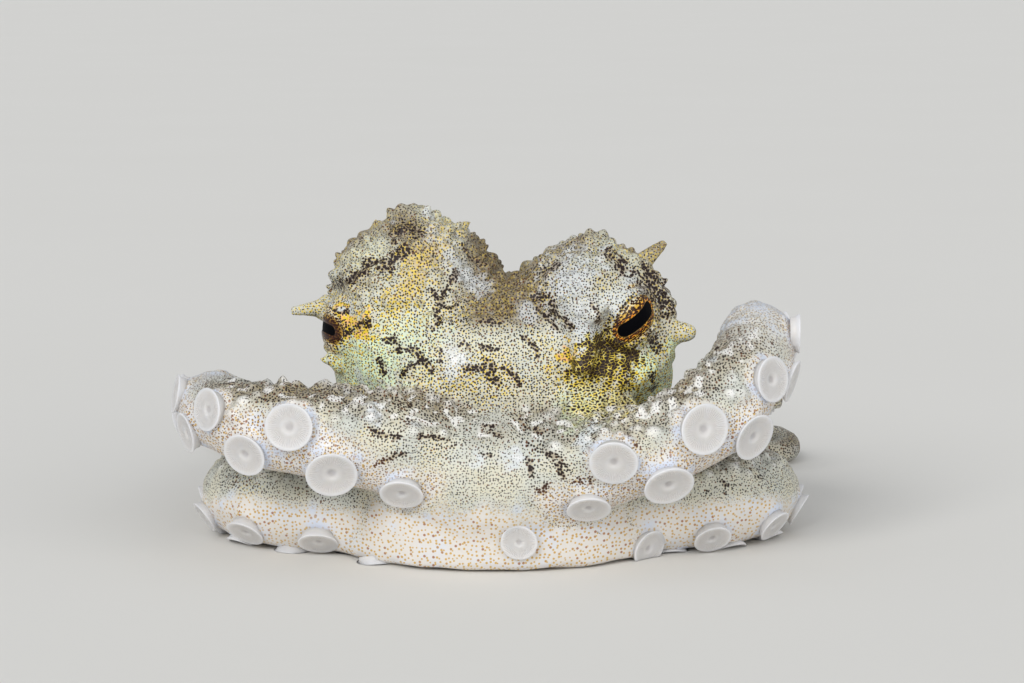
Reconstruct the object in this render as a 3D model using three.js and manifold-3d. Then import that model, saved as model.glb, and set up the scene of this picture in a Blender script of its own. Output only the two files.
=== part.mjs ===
// A small bottom-living octopus at rest, life size, in millimetres: +Z up, facing -Y.
// Its body is a head with two eye mounds, a mantle behind, a funnel, a crown of web, and
// eight arms, each in three lengths. Left and right are the animal's own: left is +X.
import * as THREE from "three";
import { mergeVertices } from "three/addons/utils/BufferGeometryUtils.js";
import Module from "manifold-3d";

const wasm = await Module();
wasm.setup();

// ---- Driving sizes ------------------------------------------------------------------
const GAP = 0.3;                 // clearance between touching pieces
const UP = new THREE.Vector3(0, 0, 1);

const ARM = {
  tipRadius: 0.42,
  taper: 0.78,                   // how evenly an arm thins toward its tip
  sides: 7,
  floorPress: 0.93,              // share of its radius that a lying arm keeps above the floor
  rootEnd: 7,                    // arc length inside the crown
  middleEnd: 24,
  tipStart: 41,
  coilClearance: 0.45,
  tipBendRadius: 1.0,
};

const SUCKER = {
  diameter: 2.8,                 // the largest, a little way out from the mouth
  shareOfArm: 0.86,              // most of the arm's radius that a sucker may take
  smallest: 1.9,                 // smaller ones are part of the arm's surface
  rowAngle: THREE.MathUtils.degToRad(24),
  spacing: 0.75,                 // along the arm, in diameters
  spacingTip: 0.95,
  height: 0.38,                  // in diameters
  waist: 0.62,
  sides: 6,
};

// Each bend is [length, turn in degrees toward the back, height at its end, roll at its end].
// Roll 0 faces the suckers to the floor, and 90 outward. The coil at the end turns inward (1)
// or outward (-1). The front pair thins faster and has large suckers for its size.
const ARMS = {
  left_1: { side: 1, root: [0.5, -4.2, 5.4], heading: 42, roll: 62, radius: 3.6, coil: 18, curl: -1,
    taper: 1.5, shareOfArm: 1.05, tipHeight: 4.9, firstSucker: 2.5, firstRow: 1, secondRowFrom: 5,
    bends: [[5, 30, 6.4, 63], [4, 18, 7.4, 68], [4.5, 28, 9, 78], [5, 42, 11.8, 84],
      [4, 24, 12.6, 84], [8, 6, 9.3, 75], [7, -4, 6.4, 60], [6, -4, 5.7, 60]] },
  right_1: { side: -1, root: [0.5, -4.2, 5.4], heading: 46, roll: 66, radius: 3.3, coil: 20, curl: 1,
    taper: 1.4, shareOfArm: 1.05, tipHeight: 5.1, firstSucker: 5.8, firstRow: -1, secondRowFrom: 8,
    bends: [[5, 28, 6.8, 68], [4.5, 14, 7.8, 76], [4, 20, 8.2, 84], [4, 40, 8.6, 88],
      [4, 32, 8.6, 88], [8, -2, 7.4, 75], [7, 2, 6.3, 60], [4, 4, 5.6, 60]] },
  left_2: { side: 1, root: [4, -2.5, 2.9], heading: 92, roll: 20, radius: 2.9, coil: 22, curl: -1,
    bends: [[7, 8, 2.7, 30], [9, 80, 2.4, 45], [12, 9, 2, 50], [9, 3, 1.6, 50]] },
  right_2: { side: -1, root: [4, -2.5, 2.9], heading: 92, roll: 20, radius: 2.9, coil: 20, curl: -1,
    bends: [[6.5, 5, 2.7, 30], [9, 85, 2.4, 45], [7, 0, 2.1, 50], [9, 8, 1.8, 50],
      [9, 2, 1.6, 50]] },
  left_3: { side: 1, root: [2.5, 0.5, 2.7], heading: 116, roll: 20, radius: 2.7, coil: 24, curl: -1,
    bends: [[7, 15, 2.6, 30], [8, 51, 2.2, 45], [10, 8, 2, 60], [15, 2, 1.6, 60]] },
  right_3: { side: -1, root: [2.5, 0.5, 2.7], heading: 116, roll: 20, radius: 2.7, coil: 21, curl: -1,
    bends: [[7, 15, 2.6, 30], [8, 54, 2.2, 45], [10, -1, 2, 60], [16, 4, 1.6, 60]] },
  left_4: { side: 1, root: [1.2, 2.5, 2.5], heading: 140, roll: 10, radius: 2.5, coil: 22, curl: 1,
    bends: [[8, 34, 2.3, 30], [12, 14, 2, 45], [15, -4, 1.6, 60]] },
  right_4: { side: -1, root: [1.2, 2.5, 2.5], heading: 140, roll: 10, radius: 2.5, coil: 14, curl: 1,
    bends: [[8, 34, 2.3, 30], [12, 10, 2, 45], [12, -10, 1.6, 60], [12, 20, 1.2, 60]] },
};

const CROWN = {
  dome: { centre: [0, -0.3, 0], radii: [10.2, 8.6, 9.7] },
  front: { centre: [0, -5.2, 5.2], radii: [6.6, 4.9, 4.4] },
  // Share of the footprint that the dome keeps at each share of its height.
  profile: [[0, 0], [1, 0], [1, 0.14], [0.96, 0.36], [0.86, 0.6], [0.7, 0.8], [0.42, 0.95], [0, 1]],
};

const HEAD = {
  moundLeft: { centre: [5.5, -0.9, 13.1], radii: [5.2, 5.7, 5.9] },
  moundRight: { centre: [-4.9, 1.2, 13.2], radii: [5.8, 5.8, 6.9] },
  face: { centre: [0.2, -0.6, 11.2], radii: [9.2, 6.4, 5.2] },
  neck: { centre: [0, 6.2, 9.2], radii: [7.6, 6.5, 4.4] },
};

// Soft spikes of skin: foot, direction, length and foot radius.
const HEAD_PAPILLAE = [
  { foot: [-9.7, 1.5, 14.3], along: [-1, -0.3, -0.1], length: 2.6, radius: 0.75 },
  { foot: [-9.4, -1.2, 11.2], along: [-1, -0.1, -0.1], length: 1.4, radius: 0.6 },
  { foot: [8.2, -1, 17.2], along: [0.75, 0, 0.8], length: 2.4, radius: 0.7 },
  { foot: [9.6, -1.4, 13], along: [1, -0.1, 0.05], length: 2.5, radius: 0.75 },
  { foot: [6, -0.6, 18.2], along: [0.1, -0.2, 1], length: 1.4, radius: 0.8 },
  { foot: [4.3, -0.8, 17.8], along: [-0.2, -0.1, 1], length: 1.1, radius: 0.7 },
  { foot: [-5.2, 1.2, 19.4], along: [0, -0.1, 1], length: 1.2, radius: 0.8 },
  { foot: [-3.2, 1.4, 18.9], along: [0.4, -0.1, 1], length: 1.1, radius: 0.7 },
  { foot: [-8, 0.8, 17.8], along: [-0.6, -0.1, 0.8], length: 1.1, radius: 0.7 },
  { foot: [5.4, -5.4, 14.6], along: [0.15, -0.8, -0.6], length: 2.6, radius: 1.7 },
];

const EYE = {
  radius: 2.6,
  opening: 2,
  sides: 12,
  left: { centre: [6.7, -3.2, 14.1], azimuth: 40, elevation: 5 },
  right: { centre: [-7.9, -0.3, 13.1], azimuth: -75, elevation: 5 },
};

const MANTLE = {
  centre: [0, 18.6, 8],
  radii: [10, 13.6, 5.2],
  point: 0.16,                   // how far its rear end is drawn to a point
};

const MANTLE_PAPILLAE = [
  { foot: [0, 25.6, 11.7], along: [0, 0.5, 1], length: 1.3, radius: 0.8 },
  { foot: [4.8, 19.5, 12], along: [0.3, 0.1, 1], length: 1.2, radius: 0.7 },
  { foot: [-4.8, 19.5, 12], along: [-0.3, 0.1, 1], length: 1.2, radius: 0.7 },
  { foot: [0, 31.6, 8.2], along: [0, 1, 0.25], length: 1.5, radius: 0.8 },
];

const FUNNEL = {
  foot: [-7.4, 8.6, 6.1],
  along: [-0.9, -0.45, 0.12],
  length: 5.2,
  footRadius: 1.9,
  mouthRadius: 1.15,
  bore: 0.62,
  depth: 3.4,
};

const SKIN = new THREE.MeshStandardMaterial({ color: 0xb9b19c, roughness: 0.45, metalness: 0 });
const SKIN_UNDER = new THREE.MeshStandardMaterial({ color: 0xd6d3d0, roughness: 0.4, metalness: 0 });
const EYE_GLOSS = new THREE.MeshStandardMaterial({ color: 0x6b4a18, roughness: 0.1, metalness: 0 });

// ---- Solids from three.js geometry --------------------------------------------------

/** A closed three.js geometry as a solid that can be joined and cut. */
function solidOf(geometry) {
  const bare = geometry.index ? geometry : mergeVertices(geometry);
  bare.deleteAttribute("normal");
  bare.deleteAttribute("uv");
  const merged = mergeVertices(bare, 1e-5);
  const mesh = new wasm.Mesh({
    numProp: 3,
    vertProperties: new Float32Array(merged.attributes.position.array),
    triVerts: new Uint32Array(merged.index.array),
  });
  return new wasm.Manifold(mesh);
}

/** The solid as a named mesh. Crumbs that a cut leaves loose are dropped. */
function meshOf(name, solid, material) {
  const pieces = solid.decompose().sort((a, b) => b.volume() - a.volume());
  const { vertProperties, triVerts } = pieces[0].getMesh();
  const geometry = new THREE.BufferGeometry();
  geometry.setAttribute("position", new THREE.BufferAttribute(new Float32Array(vertProperties), 3));
  geometry.setIndex(new THREE.BufferAttribute(new Uint32Array(triVerts), 1));
  geometry.computeVertexNormals();
  const mesh = new THREE.Mesh(geometry, material);
  mesh.name = name;
  return mesh;
}

/** What lies above the floor. */
const aboveFloor = (solid) => solid.trimByPlane([0, 0, 1], 0);

/** An ellipsoid, larger by grow all round. */
function ellipsoid({ centre, radii }, grow = 0, segments = 14) {
  const sphere = new THREE.SphereGeometry(1, segments, Math.round(segments / 2));
  sphere.rotateX(Math.PI / 2);
  sphere.scale(...radii.map((radius) => radius + grow));
  sphere.translate(...centre);
  return solidOf(sphere);
}

/** A round taper whose axis starts at foot and points along. */
function taper(foot, along, length, footRadius, endRadius, sides) {
  const cone = new THREE.CylinderGeometry(endRadius, footRadius, length, sides);
  cone.translate(0, length / 2, 0);
  const axis = new THREE.Vector3(...along).normalize();
  cone.applyQuaternion(new THREE.Quaternion().setFromUnitVectors(new THREE.Vector3(0, 1, 0), axis));
  cone.translate(...foot);
  return solidOf(cone);
}

/** A papilla, sunk by a little of its length into the skin it grows from. */
function papilla({ foot, along, length, radius }, grow = 0) {
  return taper(foot, along, length + grow, radius + grow, radius * 0.3 + grow, 5);
}

const join = (solids) => wasm.Manifold.union(solids);

// ---- Arms ---------------------------------------------------------------------------

/** The arm's radius at arc length s. */
function armRadius(arm, s) {
  const left = 1 - Math.min(Math.max(s / arm.length, 0), 1);
  return ARM.tipRadius + (arm.radius - ARM.tipRadius) * left ** (arm.taper ?? ARM.taper);
}

/** A smooth value through [s, value] keys. */
function smoothThrough(keys, s) {
  const last = keys.length - 1;
  let i = 0;
  while (i < last - 1 && s > keys[i + 1][0]) i += 1;
  const slope = (k) => {
    const [before, after] = [keys[Math.max(k - 1, 0)], keys[Math.min(k + 1, last)]];
    return (after[1] - before[1]) / (after[0] - before[0]);
  };
  const span = keys[i + 1][0] - keys[i][0];
  const t = THREE.MathUtils.clamp((s - keys[i][0]) / span, 0, 1);
  const [t2, t3] = [t * t, t * t * t];
  return (2 * t3 - 3 * t2 + 1) * keys[i][1] + (t3 - 2 * t2 + t) * span * slope(i)
    + (3 * t2 - 2 * t3) * keys[i + 1][1] + (t3 - t2) * span * slope(i + 1);
}

/** Turn rates of the coil, in degrees per mm, by steps back from the tip. */
function coilRates(arm, step) {
  const rates = [];
  let bendRadius = ARM.tipBendRadius;
  for (let back = 0; back <= arm.coil + step; back += step) {
    rates.push(THREE.MathUtils.radToDeg(1 / bendRadius));
    const pitch = 2 * armRadius(arm, arm.length - back) + ARM.coilClearance;
    bendRadius += (pitch / (2 * Math.PI)) * (step / bendRadius);
  }
  return rates;
}

/** The arm's centre line: points and headings, a fixed step apart. */
function traceArm(arm) {
  const step = 0.25;
  const steps = Math.round(arm.length / step);
  const heights = [[0, arm.root[2]]];
  const rolls = [[0, arm.roll]];
  let end = 0;
  for (const [length, , height, roll] of arm.bends) {
    end += length;
    heights.push([end, height]);
    rolls.push([end, roll]);
  }
  heights.push([arm.length, arm.tipHeight ?? ARM.tipRadius]);
  rolls.push([arm.length, rolls.at(-1)[1]]);
  const rates = coilRates(arm, step);
  const rateAt = (s) => {
    let start = 0;
    for (const [length, turn] of arm.bends) {
      if (s < start + length) return turn / length;
      start += length;
    }
    const ease = 0.5 + 0.5 * Math.min(1, (s - start) / 3);
    return arm.curl * ease * rates[Math.floor((arm.length - s) / step)];
  };
  const heightAt = (s) => Math.max(smoothThrough(heights, s), armRadius(arm, s) * ARM.floorPress);
  let [x, y] = arm.root;
  let heading = arm.heading;
  const stations = [];
  for (let i = 0; i <= steps; i += 1) {
    const s = i * step;
    const z = heightAt(s);
    stations.push({
      s,
      heading: THREE.MathUtils.degToRad(heading),
      roll: THREE.MathUtils.degToRad(smoothThrough(rolls, s)),
      point: new THREE.Vector3(arm.side * x, y, z),
    });
    const turn = rateAt(s + step / 2) * step;
    const rise = heightAt(s + step) - z;
    const run = Math.sqrt(Math.max(step ** 2 - rise ** 2, 0.04 * step ** 2));
    const middle = THREE.MathUtils.degToRad(heading + turn / 2);
    x += Math.sin(middle) * run;
    y -= Math.cos(middle) * run;
    heading += turn;
  }
  return stations;
}

/** The arm's own axes at arc length s: along it, outward, up, and toward the suckers. */
function armFrame(arm, s) {
  const { stations } = arm;
  const i = THREE.MathUtils.clamp(Math.round(s / stations[1].s), 0, stations.length - 1);
  const { point, heading, roll } = stations[i];
  const before = stations[Math.max(i - 1, 0)].point;
  const after = stations[Math.min(i + 1, stations.length - 1)].point;
  const along = after.clone().sub(before).normalize();
  const outward = new THREE.Vector3(-Math.cos(heading) * arm.side, -Math.sin(heading), 0);
  outward.addScaledVector(along, -outward.dot(along)).normalize();
  const up = new THREE.Vector3().crossVectors(outward, along).multiplyScalar(arm.side);
  const oral = up.clone().multiplyScalar(-Math.cos(roll)).addScaledVector(outward, Math.sin(roll));
  const across = new THREE.Vector3().crossVectors(along, oral);
  return { point, along, oral, across };
}

/** Arc lengths of the rings between two ends, closer together where the arm is thin. */
function ringsBetween(arm, start, end) {
  const rings = [start];
  for (let s = start; s < end - 1.1; ) {
    s += Math.min(1.1 + armRadius(arm, s), 3.2);
    rings.push(Math.min(s, end));
  }
  rings[rings.length - 1] = end;
  return rings;
}

/** The bare arm between two arc lengths, thicker by grow. */
function armTube(arm, start, end, grow) {
  const rings = ringsBetween(arm, start, end);
  const tube = new THREE.CylinderGeometry(1, 1, rings.length - 1, ARM.sides, rings.length - 1);
  const position = tube.attributes.position;
  const place = new THREE.Vector3();
  for (let i = 0; i < position.count; i += 1) {
    const ring = Math.round(position.getY(i) + (rings.length - 1) / 2);
    const s = rings[ring];
    const { point, oral, across } = armFrame(arm, s);
    const radius = armRadius(arm, s) + grow;
    // The cylinder's x and z become the arm's across and oral directions.
    place.copy(point)
      .addScaledVector(across, position.getX(i) * radius)
      .addScaledVector(oral, position.getZ(i) * radius);
    position.setXYZ(i, place.x, place.y, place.z);
  }
  return solidOf(tube);
}

/** Every sucker of the arm: arc length, diameter and row. The second row may start later. */
function suckersOf(arm) {
  const suckers = [];
  const { firstRow = 1, secondRowFrom = 0 } = arm;
  let row = firstRow;
  for (let s = arm.firstSucker ?? 3; s < arm.length - 1.2; row = -row) {
    const young = Math.min(1, 0.62 + (0.38 * s) / 9);
    const share = arm.shareOfArm ?? SUCKER.shareOfArm;
    const diameter = Math.min(SUCKER.diameter * young, share * armRadius(arm, s));
    if (row === firstRow || s > secondRowFrom) suckers.push({ s, diameter, row });
    s += diameter * THREE.MathUtils.lerp(SUCKER.spacing, SUCKER.spacingTip, s / arm.length);
  }
  return suckers;
}

/** One sucker: a short stalk that flares to its rim. */
function suckerSolid(arm, { s, diameter, row }, grow) {
  const { point, oral, across } = armFrame(arm, s);
  const angle = SUCKER.rowAngle * row;
  const axis = oral.clone().multiplyScalar(Math.cos(angle)).addScaledVector(across, Math.sin(angle));
  const inside = armRadius(arm, s) * 0.72;
  const foot = point.clone().addScaledVector(axis, inside);
  const length = armRadius(arm, s) - inside + SUCKER.height * diameter + grow;
  const rim = diameter / 2 + grow;
  return taper(foot.toArray(), axis.toArray(), length, rim * SUCKER.waist, rim, SUCKER.sides);
}

/** A length of arm with its larger suckers, thicker by grow, or longer where it is grown. */
function armPiece(arm, start, end, grow = 0) {
  const solids = [armTube(arm, start, end, grow)];
  for (const sucker of arm.suckers) {
    const half = sucker.diameter / 2;
    if (sucker.diameter < SUCKER.smallest || sucker.s - half < start || sucker.s + half > end) continue;
    solids.push(suckerSolid(arm, sucker, grow));
  }
  return aboveFloor(join(solids));
}

for (const arm of Object.values(ARMS)) {
  arm.length = arm.bends.reduce((sum, [length]) => sum + length, 0) + arm.coil;
  arm.stations = traceArm(arm);
  arm.suckers = suckersOf(arm);
}

// ---- Body ---------------------------------------------------------------------------

/** The web round the mouth with the roots of all the arms, larger by grow. */
function crownSolid(grow = 0) {
  const { dome, front, profile } = CROWN;
  const outline = profile.map(([across, height]) => new THREE.Vector2(across, height));
  const lathe = new THREE.LatheGeometry(outline, 20);
  lathe.rotateX(Math.PI / 2);
  lathe.scale(...dome.radii.map((radius) => radius + grow));
  lathe.translate(...dome.centre);
  const solids = [solidOf(lathe), ellipsoid(front, grow)];
  for (const arm of Object.values(ARMS)) {
    solids.push(armPiece(arm, 0, ARM.rootEnd + (grow > 0 ? GAP / 2 : -GAP / 2), grow));
  }
  return aboveFloor(join(solids));
}

/** The eyeball, larger by grow. */
function eyeball({ centre }, grow = 0) {
  const radius = EYE.radius + grow;
  return ellipsoid({ centre, radii: [radius, radius, radius] }, 0, EYE.sides);
}

/** The way the eye looks, as a unit vector. */
function gaze({ azimuth, elevation }) {
  const [turn, lift] = [THREE.MathUtils.degToRad(azimuth), THREE.MathUtils.degToRad(elevation)];
  return [Math.sin(turn) * Math.cos(lift), -Math.cos(turn) * Math.cos(lift), Math.sin(lift)];
}

/** The head with its two eye mounds and spikes, larger by grow. */
function headSolid(grow = 0) {
  const { moundLeft, moundRight, face, neck } = HEAD;
  return join([
    ellipsoid(moundLeft, grow), ellipsoid(moundRight, grow),
    ellipsoid(face, grow), ellipsoid(neck, grow),
    ...HEAD_PAPILLAE.map((spike) => papilla(spike, grow)),
  ]);
}

/** The room for an eyeball, open to the outside between the lids. */
function eyeSocket(eye) {
  const way = taper(eye.centre, gaze(eye), 6, EYE.opening, EYE.opening, EYE.sides);
  return eyeball(eye, GAP).add(way);
}

/** The mantle: an egg whose rear end is drawn out, larger by grow. */
function mantleSolid(grow = 0) {
  const { centre, radii, point } = MANTLE;
  const egg = new THREE.SphereGeometry(1, 18, 10);
  const position = egg.attributes.position;
  for (let i = 0; i < position.count; i += 1) {
    // The sphere's own axis is the mantle's length, with its rear at +Y.
    const [x, rear, z] = [position.getX(i), position.getY(i), position.getZ(i)];
    const slim = rear > 0 ? 1 - point * rear * rear : 1;
    position.setXYZ(i, x * slim * (radii[0] + grow), rear * (radii[1] + grow),
      z * slim * (radii[2] + grow));
  }
  egg.translate(...centre);
  return join([solidOf(egg), ...MANTLE_PAPILLAE.map((spike) => papilla(spike, grow))]);
}

/** The funnel, a short open tube, or without its bore where it is grown. */
function funnelSolid(grow = 0) {
  const { foot, along, length, footRadius, mouthRadius, bore, depth } = FUNNEL;
  const body = taper(foot, along, length + grow, footRadius + grow, mouthRadius + grow, 12);
  if (grow > 0) return body;
  const axis = new THREE.Vector3(...along).normalize();
  const inner = new THREE.Vector3(...foot).addScaledVector(axis, length - depth);
  return body.subtract(taper(inner.toArray(), along, depth + 1, bore, bore, 10));
}

// ---- The animal ---------------------------------------------------------------------

const octopus = new THREE.Group();
const taken = [];                // the room of each piece made so far, with its clearance

/** Adds a piece, cut clear of the room that earlier pieces take. */
function place(name, solid, room, material = SKIN) {
  const box = solid.boundingBox();
  const meets = ({ box: other }) => [0, 1, 2].every((axis) => (
    box.min[axis] < other.max[axis] && other.min[axis] < box.max[axis]));
  const cutters = taken.filter(meets).map(({ room: earlier }) => earlier);
  const clear = cutters.length > 0 ? solid.subtract(join(cutters)) : solid;
  octopus.add(meshOf(name, clear, material));
  taken.push({ room, box: room.boundingBox() });
}

place("crown_web", crownSolid(), crownSolid(GAP), SKIN_UNDER);
place("eye_left", eyeball(EYE.left), eyeSocket(EYE.left), EYE_GLOSS);
place("eye_right", eyeball(EYE.right), eyeSocket(EYE.right), EYE_GLOSS);
place("head", headSolid(), headSolid(GAP));
for (const [name, arm] of Object.entries(ARMS)) {
  const lengths = [["root", ARM.rootEnd, ARM.middleEnd], ["middle", ARM.middleEnd, ARM.tipStart],
    ["tip", ARM.tipStart, arm.length + GAP / 2]];
  for (const [part, start, end] of lengths) {
    const solid = armPiece(arm, start + GAP / 2, end - GAP / 2);
    place(`arm_${name}_${part}`, solid, armPiece(arm, start - GAP / 2, end + GAP / 2, GAP));
  }
}
place("mantle", mantleSolid(), mantleSolid(GAP));
place("funnel", funnelSolid(), funnelSolid(GAP));

// The origin is the middle of the footprint, on the floor.
const middle = new THREE.Box3().setFromObject(octopus).getCenter(new THREE.Vector3());
octopus.position.set(-middle.x, -middle.y, 0);

export default octopus;
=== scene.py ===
"""A small bottom-living octopus at rest, life size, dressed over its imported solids.

Shapes are worked out in millimetres in the animal's own frame: the head over the origin,
facing -Y, its left at +X, the floor at z 0. Each finished piece is then moved into the
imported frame, in metres.
"""
import logging
import math
from collections.abc import Iterator, Sequence
from dataclasses import dataclass, field
from enum import Enum
from typing import TypeAlias

import bmesh
import bpy
import numpy as np
from mathutils import Matrix, Vector, kdtree, noise
from mathutils.bvhtree import BVHTree


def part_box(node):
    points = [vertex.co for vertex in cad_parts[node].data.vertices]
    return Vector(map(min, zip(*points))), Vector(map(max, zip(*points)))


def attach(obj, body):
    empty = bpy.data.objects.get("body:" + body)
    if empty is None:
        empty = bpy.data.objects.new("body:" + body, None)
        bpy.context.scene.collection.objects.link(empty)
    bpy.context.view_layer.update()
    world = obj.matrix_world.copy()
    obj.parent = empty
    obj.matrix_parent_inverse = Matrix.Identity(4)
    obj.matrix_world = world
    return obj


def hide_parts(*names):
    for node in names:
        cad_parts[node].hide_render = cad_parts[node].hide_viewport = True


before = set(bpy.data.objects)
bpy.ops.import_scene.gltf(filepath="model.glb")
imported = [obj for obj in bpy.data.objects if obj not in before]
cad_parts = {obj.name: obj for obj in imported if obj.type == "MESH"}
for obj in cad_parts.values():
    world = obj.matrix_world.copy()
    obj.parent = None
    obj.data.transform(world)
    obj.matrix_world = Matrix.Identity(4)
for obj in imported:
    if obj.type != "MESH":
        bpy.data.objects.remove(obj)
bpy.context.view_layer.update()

LOG = logging.getLogger("octopus")

Triple: TypeAlias = tuple[float, float, float]
Pair: TypeAlias = tuple[float, float]
Shade: TypeAlias = tuple[float, float, float, float]
Array: TypeAlias = np.ndarray

MM = 0.001
BODY = "root"
FLOOR_CLEARANCE = 0.02
LARGE_SUCKER = 1.2
FRONT_ARMS = (0, 1)
SECOND_ARMS = (2, 3)


# ---- Small sums -----------------------------------------------------------------------


def smooth_between(low: float, high: float, value: Array | float) -> Array:
    """An S-curve that is 0 at low and 1 at high, which may be the smaller of the two."""
    t = np.clip((np.asarray(value) - low) / (high - low), 0.0, 1.0)
    return t * t * (3.0 - 2.0 * t)


def unit_rows(rows: Array) -> Array:
    """Each row scaled to length 1."""
    return rows / np.maximum(np.linalg.norm(rows, axis=-1, keepdims=True), 1e-9)


def grain(points: Array, size: float, seed: int) -> Array:
    """Smooth noise from -1 to 1 at each point.

    Args:
        points: one row per point, in mm.
        size: the noise's rough feature size, in mm.
        seed: which noise.

    Returns:
        One value per point.
    """
    offset = np.array([13.7, 7.1, 3.3]) * seed
    return np.array([noise.noise(place) for place in (points / size + offset).tolist()])


def turned_to(way: Sequence[float]) -> Matrix:
    """The turn that brings up round to a way."""
    return Vector((0, 0, 1)).rotation_difference(Vector(way)).to_matrix().to_4x4()


def pointing(azimuth: float, elevation: float) -> Triple:
    """The unit way at an azimuth from -Y toward +X and a height, both in degrees."""
    turn, lift = math.radians(azimuth), math.radians(elevation)
    return math.sin(turn) * math.cos(lift), -math.cos(turn) * math.cos(lift), math.sin(lift)


def tree_of(points: Sequence[Sequence[float]]) -> kdtree.KDTree:
    """A search tree over points."""
    tree = kdtree.KDTree(len(points))
    for k, place in enumerate(points):
        tree.insert(place, k)
    tree.balance()
    return tree


def spun(bm: bmesh.types.BMesh, outline: Sequence[Pair], steps: int) -> None:
    """Spins an outline of reach and height once round the upright axis."""
    profile = [bm.verts.new((across, 0.0, up)) for across, up in outline]
    edges = [bm.edges.new(pair) for pair in zip(profile, profile[1:])]
    bmesh.ops.spin(bm, geom=profile + edges, cent=(0, 0, 0), axis=(0, 0, 1),
                   angle=2 * math.pi, steps=steps, use_merge=True)


def order_faces(bm: bmesh.types.BMesh) -> None:
    """Lists the faces by their corners, as a spin makes them in no fixed order."""
    bm.verts.index_update()
    order = sorted(bm.faces, key=lambda face: sorted(vert.index for vert in face.verts))
    rank = {face: k for k, face in enumerate(order)}
    bm.faces.sort(key=rank.get)


def meshed(bm: bmesh.types.BMesh, name: str) -> bpy.types.Mesh:
    """A new mesh from bm, which is freed."""
    mesh = bpy.data.meshes.new(name)
    bm.to_mesh(mesh)
    bm.free()
    return mesh


def linked(name: str, data: bpy.types.ID) -> bpy.types.Object:
    """A new object of the scene."""
    made = bpy.data.objects.new(name, data)
    bpy.context.scene.collection.objects.link(made)
    return made


def applied(body: bpy.types.Object) -> bpy.types.Mesh:
    """The mesh that an object's modifiers give. The object and its own mesh are removed."""
    mesh = body.data
    graph = bpy.context.evaluated_depsgraph_get()
    result = bpy.data.meshes.new_from_object(body.evaluated_get(graph), depsgraph=graph)
    bpy.data.objects.remove(body)
    bpy.data.meshes.remove(mesh)
    return result


def triangle_count(mesh: bpy.types.Mesh) -> int:
    """How many triangles the mesh's faces make."""
    return sum(len(face.vertices) - 2 for face in mesh.polygons)


def catmull(keys: Sequence[Pair], s: float) -> float:
    """A smooth value through (s, value) keys."""
    last = len(keys) - 1
    i = 0
    while i < last - 1 and s > keys[i + 1][0]:
        i += 1

    def slope(k: int) -> float:
        """The curve's slope at key k."""
        before, after = keys[max(k - 1, 0)], keys[min(k + 1, last)]
        return (after[1] - before[1]) / (after[0] - before[0])

    span = keys[i + 1][0] - keys[i][0]
    t = min(max((s - keys[i][0]) / span, 0.0), 1.0)
    start = (2 * t**3 - 3 * t**2 + 1) * keys[i][1] + (t**3 - 2 * t**2 + t) * span * slope(i)
    end = (3 * t**2 - 2 * t**3) * keys[i + 1][1] + (t**3 - t**2) * span * slope(i + 1)
    return start + end


# ---- Arms -----------------------------------------------------------------------------


@dataclass(frozen=True)
class Bend:
    """A stretch of an arm: its length, its turn toward the back in degrees, and the height
    and roll that it ends at. Roll 0 faces the suckers to the floor, and 90 outward."""

    length: float
    turn: float
    height: float
    roll: float


@dataclass(frozen=True)
class ArmPlan:
    """How one arm leaves the mouth, bends and coils. The coil turns inward (1) or outward."""

    name: str
    side: int
    root: Triple
    heading: float
    roll: float
    radius: float
    coil: float
    curl: int
    bends: tuple[Bend, ...]
    tip_height: float = 0.42
    first_sucker: float = 3.0
    first_row: int = 1
    second_row_from: float = 0.0
    taper: float = 0.78
    sucker_share: float = 0.86


@dataclass(frozen=True)
class Sucker:
    """One sucker: its arc length along the arm, its diameter and its row, 1 or -1."""

    s: float
    diameter: float
    row: int


def bends(*rows: tuple[float, float, float, float]) -> tuple[Bend, ...]:
    """The bends of an arm, from rows of length, turn, height and roll."""
    return tuple(Bend(*row) for row in rows)


FRONT_ROOT = (0.5, -4.2, 5.4)
SECOND_ROOT = (4.0, -2.5, 2.9)
THIRD_ROOT = (2.5, 0.5, 2.7)
REAR_ROOT = (1.2, 2.5, 2.5)

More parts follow.
